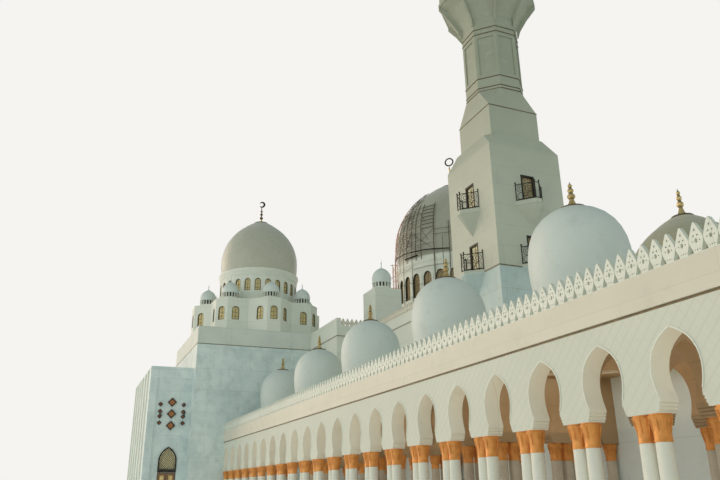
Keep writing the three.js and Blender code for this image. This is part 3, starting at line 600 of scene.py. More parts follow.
def cross_row(wall, reveal, shafts):
    """A row of three arches across the arcade, its east face at x 0."""
    row = Geo()
    row.extend(arch_bay(wall, reveal, rim=False), [(PI / 2, 0, y, 0) for y in CROSS_ARCHES])
    row.box(-DEEP, 0, CROSS_ARCHES[2] + 0.5, BACK, CAPITAL, WALL_TOP, wall)
    row.extend(shafts, [(0, -DEEP / 2, y + dy, 0) for y in CROSS_PIERS for dy in TWIN])
    row.extend(shafts, [(0, -DEEP / 2, BACK - 0.105, 0)])
    return row


inner = Geo()
# The cross rows and aisle ceilings carry painted warm shade, and their shafts a painted shaded copy of the
# white shaft.
row = cross_row(WARM_SHADE, WARM_SHADE, column(SHAFT_IN_SHADE))
row.box(-DEEP, 0, INSIDE, BACK, 2.068, 2.16, WARM_SHADE)
inner.extend(row, [(0, x + DEEP / 2, 0, 0) for x in CROSS_PLANES])
inner.box(ARCADE_WEST, EAST - DEEP, INSIDE, BACK, 2.16, CEILING, WARM_SHADE)
for x in DOME_PLACES:
    rim = [(1.12, 2.16), (1.12, 2.13), (1.2, 2.12), (1.3, 2.13), (1.3, 2.16)]
    inner.lathe(rim, 48, CREAM, x, AISLE)
both("arcade_inner", inner, ["arcade_cross"])

end = Geo()
end.extend(cross_row(RIPPLED, LIT_REVEAL, shafts), [(0, EAST, 0, 0)])
# The first box, a dark bronze strip just under the cream band's projecting edge, is painted shadow under the
# band.
for x0, x1, z0, z1, material in ((DEEP, 0, WALL_TOP, 2.09, BRONZE), (0.12, 0, 2.09, PARAPET, CREAM),
                                 (DEEP, 0.12, 2.09, CEILING, WALL)):
    end.box(EAST - x0, EAST - x1, INSIDE, BACK, z0, z1, material)
end.extend(leaf(0.298, True), leaf_places(EAST - 0.01, FRONT, EAST - 0.01, BACK, 2.45, PI / 2))
both("arcade_ends", end, ["arcade_end"])


# White domes over the arcades.

def finial(z, stretch):
    """Gilded stem of three shrinking balls on a cone, standing on height z."""
    shape = [(0.11, 0), (0.105, 0.012), (0.075, 0.03), (0.052, 0.07), (0.036, 0.12), (0.03, 0.135),
             (0.052, 0.152), (0.062, 0.178), (0.052, 0.204), (0.028, 0.218), (0.024, 0.236), (0.04, 0.25),
             (0.048, 0.272), (0.04, 0.293), (0.022, 0.305), (0.018, 0.322), (0.03, 0.334), (0.035, 0.35),
             (0.028, 0.367), (0.013, 0.38), (0.008, 0.4), (0, 0.42)]
    geo = Geo().lathe([(r, z + h * stretch) for r, h in shape], 16, GOLD, wide=1.05)
    # Dark bronze collars at the necks between the balls: painted shade in the creases.
    for r, h in ((0.034, 0.138), (0.03, 0.226), (0.023, 0.313)):
        collar = [(r, h - 0.009), (r * 1.12, h), (r, h + 0.009)]
        geo.lathe([(r, z + h * stretch) for r, h in collar], 16, BRONZE, wide=1.05)
    return geo


roof = Geo()
y = FRONT + 0.12
m = MINARET_HALF
outline = [
    (ARCADE_WEST, y), (EAST - 0.12, y), (EAST - 0.12, BACK), (EAST, BACK), (EAST, COURT),
    (MINARET[0] + m, COURT), (MINARET[0] + m, MINARET[1] - m), (MINARET[0] - m, MINARET[1] - m),
    (MINARET[0] - m, COURT), (STEP, COURT), (STEP, BACK), (ARCADE_WEST, BACK),
]
roof.prism(outline, CEILING, ROOF, PAVING)
dome = Geo()
shape = [(0.70, ROOF), (0.70, 2.46), (0.66, 2.49), (0.645, 2.62), (0.66, 2.8), (0.69, 3.0), (0.725, 3.2),
         (0.75, 3.4), (0.76, 3.594), (0.752, 3.76), (0.725, 3.92), (0.675, 4.07), (0.602, 4.2), (0.505, 4.31),
         (0.39, 4.395), (0.27, 4.455), (0.17, 4.49)]
dome.lathe(shape, 64, PLASTER)
dome.lathe([(0.17, 4.478), (0.2, 4.482), (0.204, 4.494), (0.196, 4.508), (0.16, 4.516)], 48, BRONZE)
dome.lathe([(0.16, 4.514), (0.11, 4.52), (0.09, 4.532)], 48, GOLD)
dome.extend(finial(4.52, 1.05))
roof.extend(dome, [(0, x, AISLE, 0) for x in DOME_PLACES])
both("arcade_domes", roof, ["arcade_roof"])


# Windows and doorways.

def arch_outline(width, z0, spring, top, n=8, x=0.0):
    """Round-pointed opening centred on x, anticlockwise."""
    h = width / 2
    rise = [PI / 2 * k / n for k in range(1, n)]
    curve = [(h * math.cos(t) ** 0.9, spring + (top - spring) * math.sin(t)) for t in rise]
    shape = [(-h, z0), (h, z0)] + both_sides([(h, spring), *curve, (0, top)])
    return [(across + x, z) for across, z in shape]


def window(width, z0, spring, top, frame_width=0.028, recess=0.05, glass=GILT):
    """Gilt grille with its dark frame, set back behind a wall whose front is y 0."""
    f = frame_width
    gap = arch_outline(width - 2 * f, z0 + f, spring, top - f)
    outer = arch_outline(width, z0, spring, top)
    geo = Geo().panel(outer, recess - 0.022, recess + 0.02, BRONZE, [gap], edge=IRON)
    geo.panel(gap, recess, recess + 0.012, glass)
    geo.box(-0.006, 0.006, recess - 0.012, recess, z0 + f, top - f, BRONZE)
    for z in (z0 + (spring - z0) * 0.35, z0 + (spring - z0) * 0.75):
        geo.box(-width / 2 + f, width / 2 - f, recess - 0.012, recess, z - 0.005, z + 0.005, BRONZE)
    return geo


def cut_wall(half, top, openings):
    """Outline of a wall from -half to half with openings that start at the floor."""
    points = [(-half, FLOOR)]
    for shape in openings:
        points += [shape[0], *reversed(shape[2:]), shape[1]]
    return points + [(half, FLOOR), (half, top), (-half, top)]


# Dome towers.

DOME = [(0.98, 0), (0.991, 0.06), (0.998, 0.12), (1, 0.18), (1, 0.25), (0.995, 0.3), (0.986, 0.35),
        (0.971, 0.4), (0.948, 0.45), (0.917, 0.51), (0.875, 0.57), (0.827, 0.625), (0.77, 0.68),
        (0.706, 0.732), (0.637, 0.78), (0.562, 0.823), (0.485, 0.862), (0.41, 0.9), (0.335, 0.935),
        (0.25, 0.969), (0.165, 0.995)]


def dome_shape(radius, foot, top):
    return [(r * radius, foot + h * (top - foot)) for r, h in DOME]


tx, ty = TOWER
crown = Geo()
FACE, REACH, DIP = 0.273, 2.7, 2.303
# Heights of the crown: foot, window sills, lintels, cornice and top.
CROWN, SILL, LINTEL, CORNICE, CROWN_TOP = 6.244, 6.56, 7.36, 7.52, 7.6


def corner(r, side, a):
    return tx + r * math.cos(a) - side * math.sin(a), ty + r * math.sin(a) + side * math.cos(a)


def star(reach, face, dip):
    """Plan of the crown: eight faces, and a dip after each."""
    points = []
    for a in turns(8):
        points += [corner(reach, -face, a), corner(reach, face, a), corner(dip, 0, a + PI / 8)]
    return points


plan = star(REACH, FACE, DIP)
crown.prism(plan, CROWN, SILL, WALL, [star(REACH - 0.16, 0.215, DIP - 0.19)])
crown.prism(plan, LINTEL, CORNICE, WALL)
CROWN_WINDOW = (0.29, 6.73, 7.12, 7.27)
for k in range(8):
    left, right, dip = plan[3 * k], plan[3 * k + 1], plan[3 * k + 2]
    for p, q in ((plan[3 * k - 1], left), (left, right), (right, dip)):
        length, angle, middle = side_of(p, q)
        # The slanting sides carry their window near the flat one.
        shift = 0.0
        if p == right:
            shift = 0.328 - length / 2
        elif q == left:
            shift = length / 2 - 0.328
        wall = rect(-length / 2, length / 2, SILL, LINTEL)
        side = Geo().panel(wall, 0, 0.15, WALL, [arch_outline(*CROWN_WINDOW, x=shift)])
        side.extend(window(*CROWN_WINDOW), [(0, shift, 0, 0)])
        crown.extend(side, [(angle, *middle, 0)])
crown.prism(star(REACH, FACE + 0.005, DIP + 0.02), CORNICE, CROWN_TOP, WALL)
lantern = Geo()
lantern.lathe([(0.335, CROWN_TOP), (0.335, 7.69), (0.315, 7.7), (0.315, 7.73)], 24, WALL)
# The dark cylinder inside the posts is painted shade: the shadowed inside of the open lantern.
lantern.lathe([(0.27, 7.7), (0.27, 7.93)], 16, PAINTED_SHADE)
post = Geo().box(-0.019, 0.019, 0, 0.05, 7.72, 7.92, WALL)
lantern.extend(post, [facing(a, 0.315) for a in turns(16)])
lantern.lathe([
    (0.325, 7.9), (0.338, 7.92), (0.338, 7.95), (0.325, 7.96), (0.335, 8.02), (0.327, 8.09), (0.3, 8.16),
    (0.25, 8.24), (0.18, 8.31), (0.1, 8.36), (0.04, 8.39), (0.018, 8.42), (0.014, 8.5), (0.026, 8.53),
    (0.01, 8.56), (0.008, 8.62), (0, 8.65),
], 24, PLASTER)
crown.extend(lantern, [(0, *corner(2.132, 0, a), 0) for a in turns(8)])
both("tower_bays", crown, ["tower_crown"])

drum = Geo()
DRUM = 1.64
DRUM_TOP = 9.14
DRUM_WINDOW = (0.25, 8.16, 8.53, 8.68)
width = 2 * DRUM * math.tan(PI / 24)
wall = rect(-width / 2, width / 2, CROWN_TOP, 8.92)
facet = Geo().panel(wall, 0, 0.13, WALL, [arch_outline(*DRUM_WINDOW)])
facet.extend(window(*DRUM_WINDOW))
drum.extend(facet, [facing(a, DRUM * math.cos(PI / 24) + 0.004, tx, ty) for a in turns(24)])
drum.lathe([
    (DRUM, 8.82), (1.655, 8.83), (1.655, 8.86), (DRUM, 8.87), (1.65, 8.9), (1.66, 8.98), (1.695, 9.03),
    (1.70, 9.05), (1.70, 9.12), (1.66, DRUM_TOP), (1.5, DRUM_TOP),
], 72, WALL, tx, ty)
both("tower_windows", drum, ["tower_drum"])

shell = Geo()
shell.lathe(dome_shape(DRUM, DRUM_TOP, 11.7), 72, TILES, tx, ty)
shape = [(0.26, 11.655), (0.325, 11.66), (0.335, 11.676), (0.31, 11.7), (0.27, 11.705)]
shell.lathe(shape, 40, BRONZE, tx, ty)
shell.lathe([(0.27, 11.7), (0, 11.7)], 40, GOLD, tx, ty)
both("tower_domes", shell, ["tower_dome"])

crescent = Geo()
crescent.lathe([(0.27, 11.7), (0.1, 11.725), (0.05, 11.77), (0.034, 11.84), (0.034, 11.9)], 16, GOLD, tx, ty)
crescent.lathe([
    (0.034, 11.9), (0.064, 11.93), (0.078, 11.965), (0.062, 12.0), (0.032, 12.02), (0.028, 12.09),
    (0.054, 12.115), (0.066, 12.145), (0.052, 12.175), (0.026, 12.195), (0.024, 12.25), (0.046, 12.275),
    (0.054, 12.3), (0.042, 12.325), (0.022, 12.34), (0.018, 12.49), (0, 12.5),
], 16, BRONZE, tx, ty)
crescent.ring((tx, ty, 12.63), 0.115, 0.045, IRON, 1.177, 30, (-PI * 0.8, PI * 0.8))
both("tower_crescents", crescent, ["tower_finial"])

trim = Geo()
x0, x1, y0, y1 = TOWER_BOX
for a, b, c, d in ((x0 - 0.01, x1 + 0.01, y0 - 0.01, y0), (x1, x1 + 0.01, y0, y1), (x0 - 0.01, x0, y0, y1)):
    trim.box(a, b, c, d, *LINE, BRONZE)
both("tower_bands", trim)


# Portal wings.

def diamond(across, z, half):
    return [(across, z - half), (across + half, z), (across, z + half), (across - half, z)]


SPRING = 1.5


def portal_head(half, foot, apex):
    """Pointed arch head over the door, anticlockwise."""
    curve = both_sides([(1, 0), (0.93, 0.25), (0.81, 0.45), (0.63, 0.65), (0.42, 0.81), (0.2, 0.93), (0, 1)])
    return [(DOOR_MIDDLE - half, foot), (DOOR_MIDDLE + half, foot)] + [
        (DOOR_MIDDLE + across * half, SPRING + up * (apex - SPRING)) for across, up in curve
    ]


wing = Geo()
panes = Geo()
LARGE_PANES, SMALL_PANES = -13.37, (-13.775, -12.955)
for z in (3.494, 3.084, 2.674):
    y = LARGE_PANES
    panes.panel(diamond(y, z, 0.163), 0.06, 0.075, CARVED)
    panes.panel(diamond(y, z, 0.163), 0.005, 0.06, IRON, [diamond(y, z, 0.132)])
    panes.panel(diamond(y, z, 0.075), 0.045, 0.06, COPPER, [diamond(y, z, 0.05)])
for y in SMALL_PANES:
    for z in (3.411, 3.164, 2.994, 2.764):
        panes.panel(diamond(y, z, 0.083), 0.005, 0.05, IRON, [diamond(y, z, 0.055)])
        panes.panel(diamond(y, z, 0.06), 0.05, 0.06, CARVED)
GLASS_FOOT, GLASS_TOP = 1.2, 1.895
inset = portal_head(0.272, GLASS_FOOT, GLASS_TOP)
panes.panel(portal_head(0.316, 1.172, 1.941), 0.0, 0.1, IRON, [inset])
panes.panel(inset, 0.08, 0.095, GLASS)
# Diagonal bars, each as long as the run of its steps that falls on the glass.
for k in range(-8, 9):
    for lean in (-1, 1):
        ends = []
        for n in range(-20, 21):
            across = k * 0.075 + lean * n * 0.02
            up = 1.55 + n * 0.02
            limit = 0.27
            if up >= SPRING:
                limit *= math.sqrt(max(0.0, (GLASS_TOP - up) / 0.395))
            if GLASS_FOOT < up < 1.88 and abs(across) < limit:
                ends.append((DOOR_MIDDLE + across, 0.076, up))
        if len(ends) > 1:
            panes.bar(ends[0], ends[-1], 0.008, BRONZE, 4)
panes.box(-13.70, -13.055, 0.045, 0.13, 1.085, 1.165, IRON)
wing.extend(panes, [(PI / 2, WING_FACE, 0, 0)])
# The warm cream of the strips on the wing's face is painted low sunlight; thin white fillets flank each
# strip.
for x in (-14.5, -13.55, -12.6, -11.65, -10.7, -9.75):
    wing.box(x - 0.1, x + 0.1, -14.215, -14.21, 0.1, 4.6, CREAM)
    for side in (-0.1, 0.1):
        wing.box(x + side - 0.02, x + side + 0.02, -14.24, -14.20, 0.1, 4.7, WALL)
both("portal_trim", wing)

x = -9.06
for side, y0, y1 in (("left", -13.67, -13.3845), ("right", -13.3705, -13.085)):
    door = Geo()
    for z0, z1 in ((0.12, 0.4), (0.46, 0.74), (0.8, 1.02)):
        door.box(x - 0.001, x + 0.009, y0 + 0.04, y1 - 0.04, z0, z1, WOOD)
        door.box(x + 0.008, x + 0.014, y0 + 0.075, y1 - 0.075, z0 + 0.04, z1 - 0.04, GOLD)
    handle = y1 - 0.025 if side == "left" else y0 + 0.025
    door.bar((x + 0.015, handle, 0.42), (x + 0.015, handle, 0.62), 0.007, GOLD)
    for z in (0.44, 0.60):
        door.bar((x - 0.002, handle, z), (x + 0.016, handle, z), 0.005, GOLD)
    piece(f"door_panels_{side}", door, body=f"{side}_leaf")


# Prayer hall.

low = around([(WEST, -6.98), (ARCADE_WEST, -6.98), (ARCADE_WEST, BACK), (STEP, BACK), (STEP, COURT),
              (MINARET[0] - m, COURT), (MINARET[0] - m, MINARET[1] + m), (CORNER, MINARET[1] + m)])
low_in = around([(WEST + 0.18, COURT), (-8.21, COURT), (-8.21, -8.15), (-5.67, -8.15), (-5.67, -6.62),
                 (MINARET[0] - m - 0.18, -6.62), (MINARET[0] - m - 0.18, MINARET[1] + m + 0.18),
                 (3.375, MINARET[1] + m + 0.18)])
SIDES = [(i, low[i], low[(i + 1) % len(low)]) for i in range(len(low))]
# Heights: marble foot, walls, and the parapet of the plain walls at the jog.
MARBLE_TOP, HALL_TOP, JOG_TOP = 3.4, 5.95, 6.234
hall = Geo()
hall.prism(low, MARBLE_TOP, HALL_TOP, WALL, [low_in])
for i, p, q in SIDES:
    if p[0] == q[0] == CORNER:
        continue
    a, b = low_in[i], low_in[(i + 1) % len(low)]
    hall.prism([p, q, b, a], FLOOR, MARBLE_TOP, MARBLE if max(abs(p[1]), abs(q[1])) > 8 else WALL)
doors = [arch_outline(1.3, FLOOR, 2.3, 3.1, 10, x) for x in (-2.6, 0, 2.6)]
east = Geo().panel(cut_wall(5.275, MARBLE_TOP, doors), 0, 0.18, WALL)
for x, gap in zip((-2.6, 0, 2.6), doors):
    rim = arch_outline(1.5, FLOOR, 2.3, 3.22, 10, x)
    east.panel([*rim[1:], rim[0], gap[0], *reversed(gap[2:]), gap[1]], -0.03, 0, MARBLE)
hall.extend(east, [(PI / 2, CORNER, 0, 0)])
# The walls at the jog beside the tower are plain and taller; the others carry leaves.
plain = [abs(p[1]) > 6.9 and abs(q[1]) > 6.9 and abs(p[0] - q[0]) > 0.1 for _, p, q in SIDES]
for i, p, q in SIDES:
    if p[0] == q[0] == ARCADE_WEST:
        continue
    length, angle, middle = side_of(p, q)
    strip = Geo()
    strip.box(-length / 2, length / 2, -0.012, 0.01, *LINE, BRONZE)
    strip.box(-length / 2, length / 2, -0.006, 0.16, LINE[1], JOG_TOP if plain[i] else 5.96, WALL)
    if not plain[i]:
        first = 0.17 - length / 2 if plain[i - 1] else -length / 2
        last = length / 2 - 0.17 if plain[(i + 1) % len(low)] else length / 2
        strip.extend(leaf(0.279), leaf_places(first, 0, last, 0, HALL_TOP + 0.005, 0))
    hall.extend(strip, [(angle, *middle, 0)])
piece("hall_shell", hall, ["hall_front", "hall_back", "hall_side_south", "hall_side_north"])

stair = Geo()
ROOF_DECK, STAIR_TOP = 5.9, 7.54
for x0, x1, y0, y1, z0 in ((-6.643, -5.67, COURT, -5.73, ROOF_DECK), (-5.67, STEP, COURT, -6.62, JOG_TOP),
                           (-5.67, STEP, -6.62, -5.73, ROOF_DECK)):
    stair.box(x0, x1, y0, y1, z0, STAIR_TOP, WALL)
turret = Geo()
turret.lathe([(0.37, STAIR_TOP), (0.37, 7.68), (0.35, 7.69)], 32, WALL)
# The dark cylinder inside the posts is painted shade: the shadowed inside of the open turret.
turret.lathe([(0.3, 7.68), (0.3, 7.88)], 20, PAINTED_SHADE)
post = Geo().box(-0.026, 0.026, 0, 0.06, 7.68, 7.86, WALL)
turret.extend(post, [facing(a, 0.352) for a in turns(16)])
turret.lathe([
    (0.352, 7.85), (0.37, 7.86), (0.37, 7.91), (0.355, 7.92), (0.37, 8.02), (0.365, 8.12), (0.338, 8.22),
    (0.285, 8.31), (0.21, 8.39), (0.12, 8.45), (0.04, 8.48), (0.018, 8.52), (0.016, 8.66), (0.028, 8.69),
    (0.01, 8.72), (0, 8.86),
], 32, PLASTER)
stair.extend(turret, [(0, -6.07, -6.27, 0)])
both("stair_turrets", stair, ["stair_turret"])


# Main dome.

block = Geo()
MAIN_DRUM = 2.877
MAIN_FOOT, MAIN_DRUM_TOP = 8.0, 10.6
MAIN_WINDOW = (0.42, 8.67, 9.5, 9.82)
block.box(MAIN_X - 3.4, MAIN_X + 3.4, -3.4, 3.4, ROOF_DECK, MAIN_FOOT, WALL)
half = MAIN_DRUM * math.sin(PI / 28)
gap = arch_outline(*MAIN_WINDOW, 10)
# The sides of each window opening are painted shade in the deep recess.
pane = Geo().panel(rect(-half, half, MAIN_FOOT, 10.2), 0, 0.17, WALL, [gap], edge=PAINTED_SHADE)
pane.extend(window(*MAIN_WINDOW, 0.03, 0.09, SMOKED))
for side in (-0.29, 0.29):
    pane.box(side - 0.028, side + 0.028, -0.018, 0.004, 8.55, 9.72, WALL)
    pane.box(side - 0.035, side + 0.035, -0.024, 0.004, 9.72, 9.78, WALL)
# A thin dark strip at each pane's edge is a painted shadowed slot between the piers.
pane.box(half - 0.012, half, -0.006, 0.004, 8.8, 9.66, PAINTED_SHADE)
block.extend(pane, [facing(a, MAIN_DRUM * math.cos(PI / 28), MAIN_X) for a in turns(28, PI / 28)])
block.lathe([
    (2.86, 10.05), (2.88, 10.07), (2.88, 10.12), (2.865, 10.13), (2.865, 10.2), (2.885, 10.25),
    (2.915, 10.3), (2.92, 10.34), (2.92, 10.54), (2.88, 10.58), (2.85, MAIN_DRUM_TOP), (2.5, MAIN_DRUM_TOP),
], 108, WALL, MAIN_X)
piece("main_windows", block, ["main_drum"])

MAIN_DOME, MAIN_TOP = 2.85, 14.98
shell = Geo()
shell.lathe(dome_shape(MAIN_DOME, MAIN_DRUM_TOP, MAIN_TOP), 108, SLATE, MAIN_X)
shell.lathe([(0.4, 14.945), (0.5, 14.96), (0.51, 14.98), (0.45, 15.004), (0, 15.004)], 48, BRONZE, MAIN_X)
piece("main_shell", shell, ["main_dome"])

moon = Geo()
moon.lathe([
    (0.45, 15.004), (0.16, 15.04), (0.09, 15.14), (0.07, 15.26), (0.11, 15.32), (0.13, 15.4), (0.09, 15.48),
    (0.045, 15.53), (0.045, 15.62), (0.075, 15.68), (0.085, 15.74), (0.06, 15.81), (0.03, 15.86),
    (0.03, 15.97), (0.05, 16.02), (0.05, 16.08), (0.025, 16.14), (0.02, 16.29),
], 20, GOLD, MAIN_X)
moon.ring((MAIN_X, 0, 16.49), 0.205, 0.038, IRON, PI / 4, 40)
piece("main_crescent", moon, ["main_finial"])


# Scaffold.

BEND = 11.2
CAGE = 2.975


def reach(z):
    """Distance of the scaffold from the dome's axis: upright up to the bend, then along the dome."""
    share = (z - MAIN_DRUM_TOP) / (MAIN_TOP - MAIN_DRUM_TOP)
    shell_radius = MAIN_DOME * float(np.interp(share, [h for _, h in DOME], [r for r, _ in DOME]))
    return CAGE if z <= BEND else min(CAGE, shell_radius + 0.09)


def at(deg, z, out=0.0):
    a, r = math.radians(deg), reach(z) + out
    return MAIN_X + r * math.cos(a), r * math.sin(a), z


poles = Geo()


def tube(start, finish, radius, material=TUBE, sides=5):
    """A straight tube between two places, each an angle, a height and a distance out."""
    poles.bar(at(*start), at(*finish), radius, material, sides)


# Uprights: angle, foot, top, radius. Tubes on the west side, at angles below the limit set after this table,
# are orange with painted warm sunlight.
POLES = [
    (-130, 8.0, 11.9, 0.012), (-124, 8.0, 12.6, 0.014), (-116, 8.0, 14.25, 0.013), (-108, 8.0, 13.4, 0.011),
    (-100, 8.0, 14.25, 0.011), (-93, 10.2, 14.25, 0.011), (-86, 8.0, 14.0, 0.013), (-80, 10.4, 14.25, 0.02),
    (-73, 8.0, 14.25, 0.014), (-68, 10.4, 13.3, 0.022), (-62, 10.4, 13.3, 0.022), (-49, 8.0, 13.25, 0.027),
    (-41, 8.0, 11.4, 0.012), (-35, 8.0, 12.1, 0.022), (-27, 8.0, 11.3, 0.011),
]
SUNLIT_TO = -98
for deg, foot, top, radius in POLES:
    stops = [foot] + [z for z in np.arange(BEND, 14.3, 0.3) if foot < z < top] + [top]
    for low_end, high_end in zip(stops, stops[1:]):
        tube((deg, low_end), (deg, high_end), radius, SUNLIT_TUBE if deg < SUNLIT_TO else TUBE)
# Ledgers: from and to an upright, then heights. The upper ones between uprights 10 and 11 are the thickest.
LEDGERS = [
    (0, 4, (8.7, 9.1, 9.5, 9.9, 10.3, 10.7, 11.1, 11.5, 11.85)), (4, 6, (8.7, 9.4, 10.1)),
    (6, 8, (8.7, 9.4, 10.1)), (2, 5, (12.2, 12.55, 12.9, 13.3)),
    (7, 10, (11.0, 11.35, 11.7, 12.05, 12.4, 12.75, 13.1)),
    (4, 7, (10.9, 11.12, 11.34, 11.56, 11.78, 12.0, 12.22, 12.44, 12.66, 12.88, 13.1, 13.32, 13.55, 13.8)),
    (1, 4, (11.2, 11.5, 11.8, 12.1, 12.4)),
    (5, 8, (11.22, 11.45, 11.67, 11.9, 12.11, 12.33, 12.78, 13.0, 13.45)),
    (7, 9, (11.0, 11.2, 11.55, 11.8, 12.2, 12.6, 12.9, 13.6)),
    (10, 11, (11.9, 12.1, 12.3, 12.5, 12.7, 12.9, 13.1)), (8, 11, (9.2, 10.0, 11.1)),
    (11, 13, (9.2, 10.0, 11.5, 11.75)), (13, 14, (11.5, 11.75)),
]
for first, last, heights in LEDGERS:
    for i in range(first, last):
        a, b = POLES[i][0], POLES[i + 1][0]
        middle = (a + b) / 2
        tone = SUNLIT_TUBE if a < SUNLIT_TO else TUBE
        for n, z in enumerate(heights):
            sag = 0.0 if i > 8 else 0.05 * math.sin(1.7 * i + 2.3 * n)
            thick = 0.018 if i == 10 and z > 11.5 else 0.012 if 2 < i < 9 and z > 10.8 else 0.010
            tube((a, z + sag), (middle, z), thick, tone, 4)
            tube((middle, z), (b, z - sag), thick, tone, 4)
# Braces: from and to an angle and a height.
for a, z0, b, z1 in (
    (-73, 11.8, -52, 10.9), (-73, 11.85, -86, 10.9), (-67, 12.9, -58, 12.3), (-116, 9.1, -108, 10.3),
    (-93, 11.0, -86, 12.1), (-62, 11.9, -55, 11.3), (-124, 10.3, -116, 9.3), (-86, 12.2, -80, 13.0),
    (-100, 11.2, -93, 12.0), (-93, 12.3, -100, 13.0), (-108, 11.0, -100, 12.2), (-80, 11.1, -73, 12.0),
    (-80, 12.9, -73, 12.2), (-116, 12.0, -108, 12.9), (-62, 11.3, -49, 11.8),
):
    tube((a, z0), (b, z1), 0.012)
# Edges of the working platforms, with their radius.
for a, z0, b, z1, radius in (
    (-100, 10.98, -86, 10.93, 0.024), (-86, 10.93, -73, 10.86, 0.026), (-73, 10.86, -58, 10.8, 0.03),
    (-58, 10.8, -49, 10.76, 0.03), (-49, 10.76, -35, 10.7, 0.03), (-82, 10.62, -66, 10.62, 0.045),
    (-124, 11.05, -100, 10.98, 0.02),
):
    tube((a, z0, 0.03), (b, z1, 0.03), radius, IRON, 6)
# Tubes that stand out on the west side, orange with painted warm sunlight.
for n, z in enumerate((8.8, 9.0, 9.2, 9.4, 9.6, 9.8, 10.0, 10.2, 10.4, 10.6, 10.8, 11.0)):
    odd, third = n % 2, n % 3
    tip = (-134 + 4 * third, z + 0.12 * odd - 0.03, 0.16 + 0.07 * third)
    tube((-118 - 3 * odd, z), tip, 0.016, SUNLIT_TUBE)
    if odd:
        tube((-130, z, 0.12), (-122, z + 0.55, 0.02), 0.014, SUNLIT_TUBE)
for deg, top, out in ((-133, 11.0, 0.12), (-127, 11.15, 0.2), (-120, 10.9, 0.1)):
    tube((deg, 8.0, out), (deg, top, out), 0.016, SUNLIT_TUBE)
piece("scaffold_tubes", poles, ["scaffold"])


# Minarets.

mx, my = MINARET
lines = Geo()
face = Geo().box(-1.1, 1.1, -0.012, 0.004, *LINE, BRONZE)
lines.extend(face, [facing(a, m, mx, my) for a in turns(4)])
SCROLLS = [(-0.105, 0.335, 0.105), (0.105, 0.335, 0.105), (-0.13, 0.13, 0.085), (0.13, 0.13, 0.085),
           (0, 0.16, 0.05), (-0.105, 0.335, 0.05), (0.105, 0.335, 0.05)]


def balcony(deck, glass):
    """Door and iron railing on a three-sided deck, the wall face at y 0."""
    rail = Geo()
    pane = rect(-0.165, 0.165, deck + 0.03, deck + 0.75)
    rail.panel(rect(-0.207, 0.207, deck + 0.003, deck + 0.797), -0.006, 0.09, IRON, [pane])
    rail.panel(pane, 0.055, 0.065, glass)
    if glass is SMOKED:
        scroll, thick = BRASS, 0.008
        rings = [(x, z, r) for z in (0.12, 0.28, 0.44, 0.6) for x in (-0.085, 0.085) for r in (0.068, 0.03)]
    else:
        scroll, thick = BRONZE, 0.005
        rings = [(0.0, 0.18, 0.11), (0.0, 0.38, 0.085), (0.0, 0.53, 0.06), (0.0, 0.64, 0.045)]
    rail.box(-0.006, 0.006, 0.045, 0.055, deck + 0.03, deck + 0.75, scroll)
    for x, z, r in rings:
        rail.ring((x, 0.05, deck + z), r, thick, scroll, 0, 18)
    path = [(-0.405, -0.005), (-0.065, -0.365), (0.065, -0.365), (0.405, -0.005)]
    for p, q in zip(path, path[1:]):
        for z, r in ((deck + 0.46, 0.011), (deck + 0.03, 0.014)):
            rail.bar((*p, z), (*q, z), r, IRON)
        length, angle, (x, y) = side_of(p, q)
        for along, z, r in SCROLLS if length > 0.3 else ():
            centre = (x + along * math.cos(angle), y + along * math.sin(angle), deck + z)
            rail.ring(centre, r, 0.006, IRON, angle, 18)
    for x, y in path:
        rail.bar((x, y, deck), (x, y, deck + 0.5), 0.014, IRON, 6)
        knob = [(0.018, deck + 0.49), (0.024, deck + 0.51), (0.016, deck + 0.53), (0, deck + 0.54)]
        rail.lathe(knob, 6, IRON, x, y)
    return rail


for k in range(4):
    for deck in ((7.35, 5.65) if k in (0, 3) else (7.35,)):
        lines.extend(balcony(deck, SMOKED if k % 2 == 0 else GLASS), [facing(k * PI / 2, m, mx, my)])
both("minaret_balconies", lines)

OCT = 1 / math.cos(PI / 8)
EIGHTHS = turns(8, PI / 8)
APOTHEM = 0.77
OCTAGON = 10.98
tower = Geo()
for half, z0, z1, material in ((0.785, 9.354, 10.32, FACING), (0.795, 10.318, 10.34, BRONZE)):
    tower.box(-half, half, -half, half, z0, z1, material)
square = [(-0.785, -0.785), (0.785, -0.785), (0.785, 0.785), (-0.785, 0.785)]
corners = [(x, y, 10.338) for x, y in square]
corners += [(APOTHEM * OCT * math.cos(a), APOTHEM * OCT * math.sin(a), OCTAGON) for a in EIGHTHS]
faces = []
for c, (x, y) in enumerate(square):
    k = round((math.atan2(y, x) - PI / 8) / (PI / 4) - 0.5) % 8
    faces.append((c, 4 + (k + 1) % 8, 4 + k))
    faces.append((c, (c + 1) % 4, 4 + (k + 2) % 8, 4 + (k + 1) % 8))
tower.add(corners, faces, FACING)
half = APOTHEM * math.tan(PI / 8)
gap = rect(-half + 0.09, half - 0.09, 11.5, 12.75)
flat = Geo().panel(rect(-half, half, OCTAGON, 13.45), 0, 0.1, FACING, [gap])
flat.box(-half + 0.08, half - 0.08, 0.03, 0.06, 11.4, 12.85, FACING)
for z in (10.97, 11.07, 11.38, 12.88, 13.05):
    flat.box(-half - 0.006, half + 0.006, -0.014, 0.01, z - 0.011, z + 0.011, BRONZE)
tower.extend(flat, [facing(a, APOTHEM) for a in turns(8)])
shape = [(APOTHEM, 13.44), (0.80, 13.5), (0.9, 13.72), (1.08, 14.0), (1.2, 14.2), (1.33, 14.34)]
tower.lathe(shape, 8, FACING, turn=PI / 8, wide=OCT)
rib = [(0.0, 14.4), (0.62, 14.4), (0.62, 14.25), (0.33, 13.85), (0.1, 13.45), (0.02, 13.2), (0.0, 13.2)]
web = Geo().panel(rib, -0.03, 0.03, FACING)
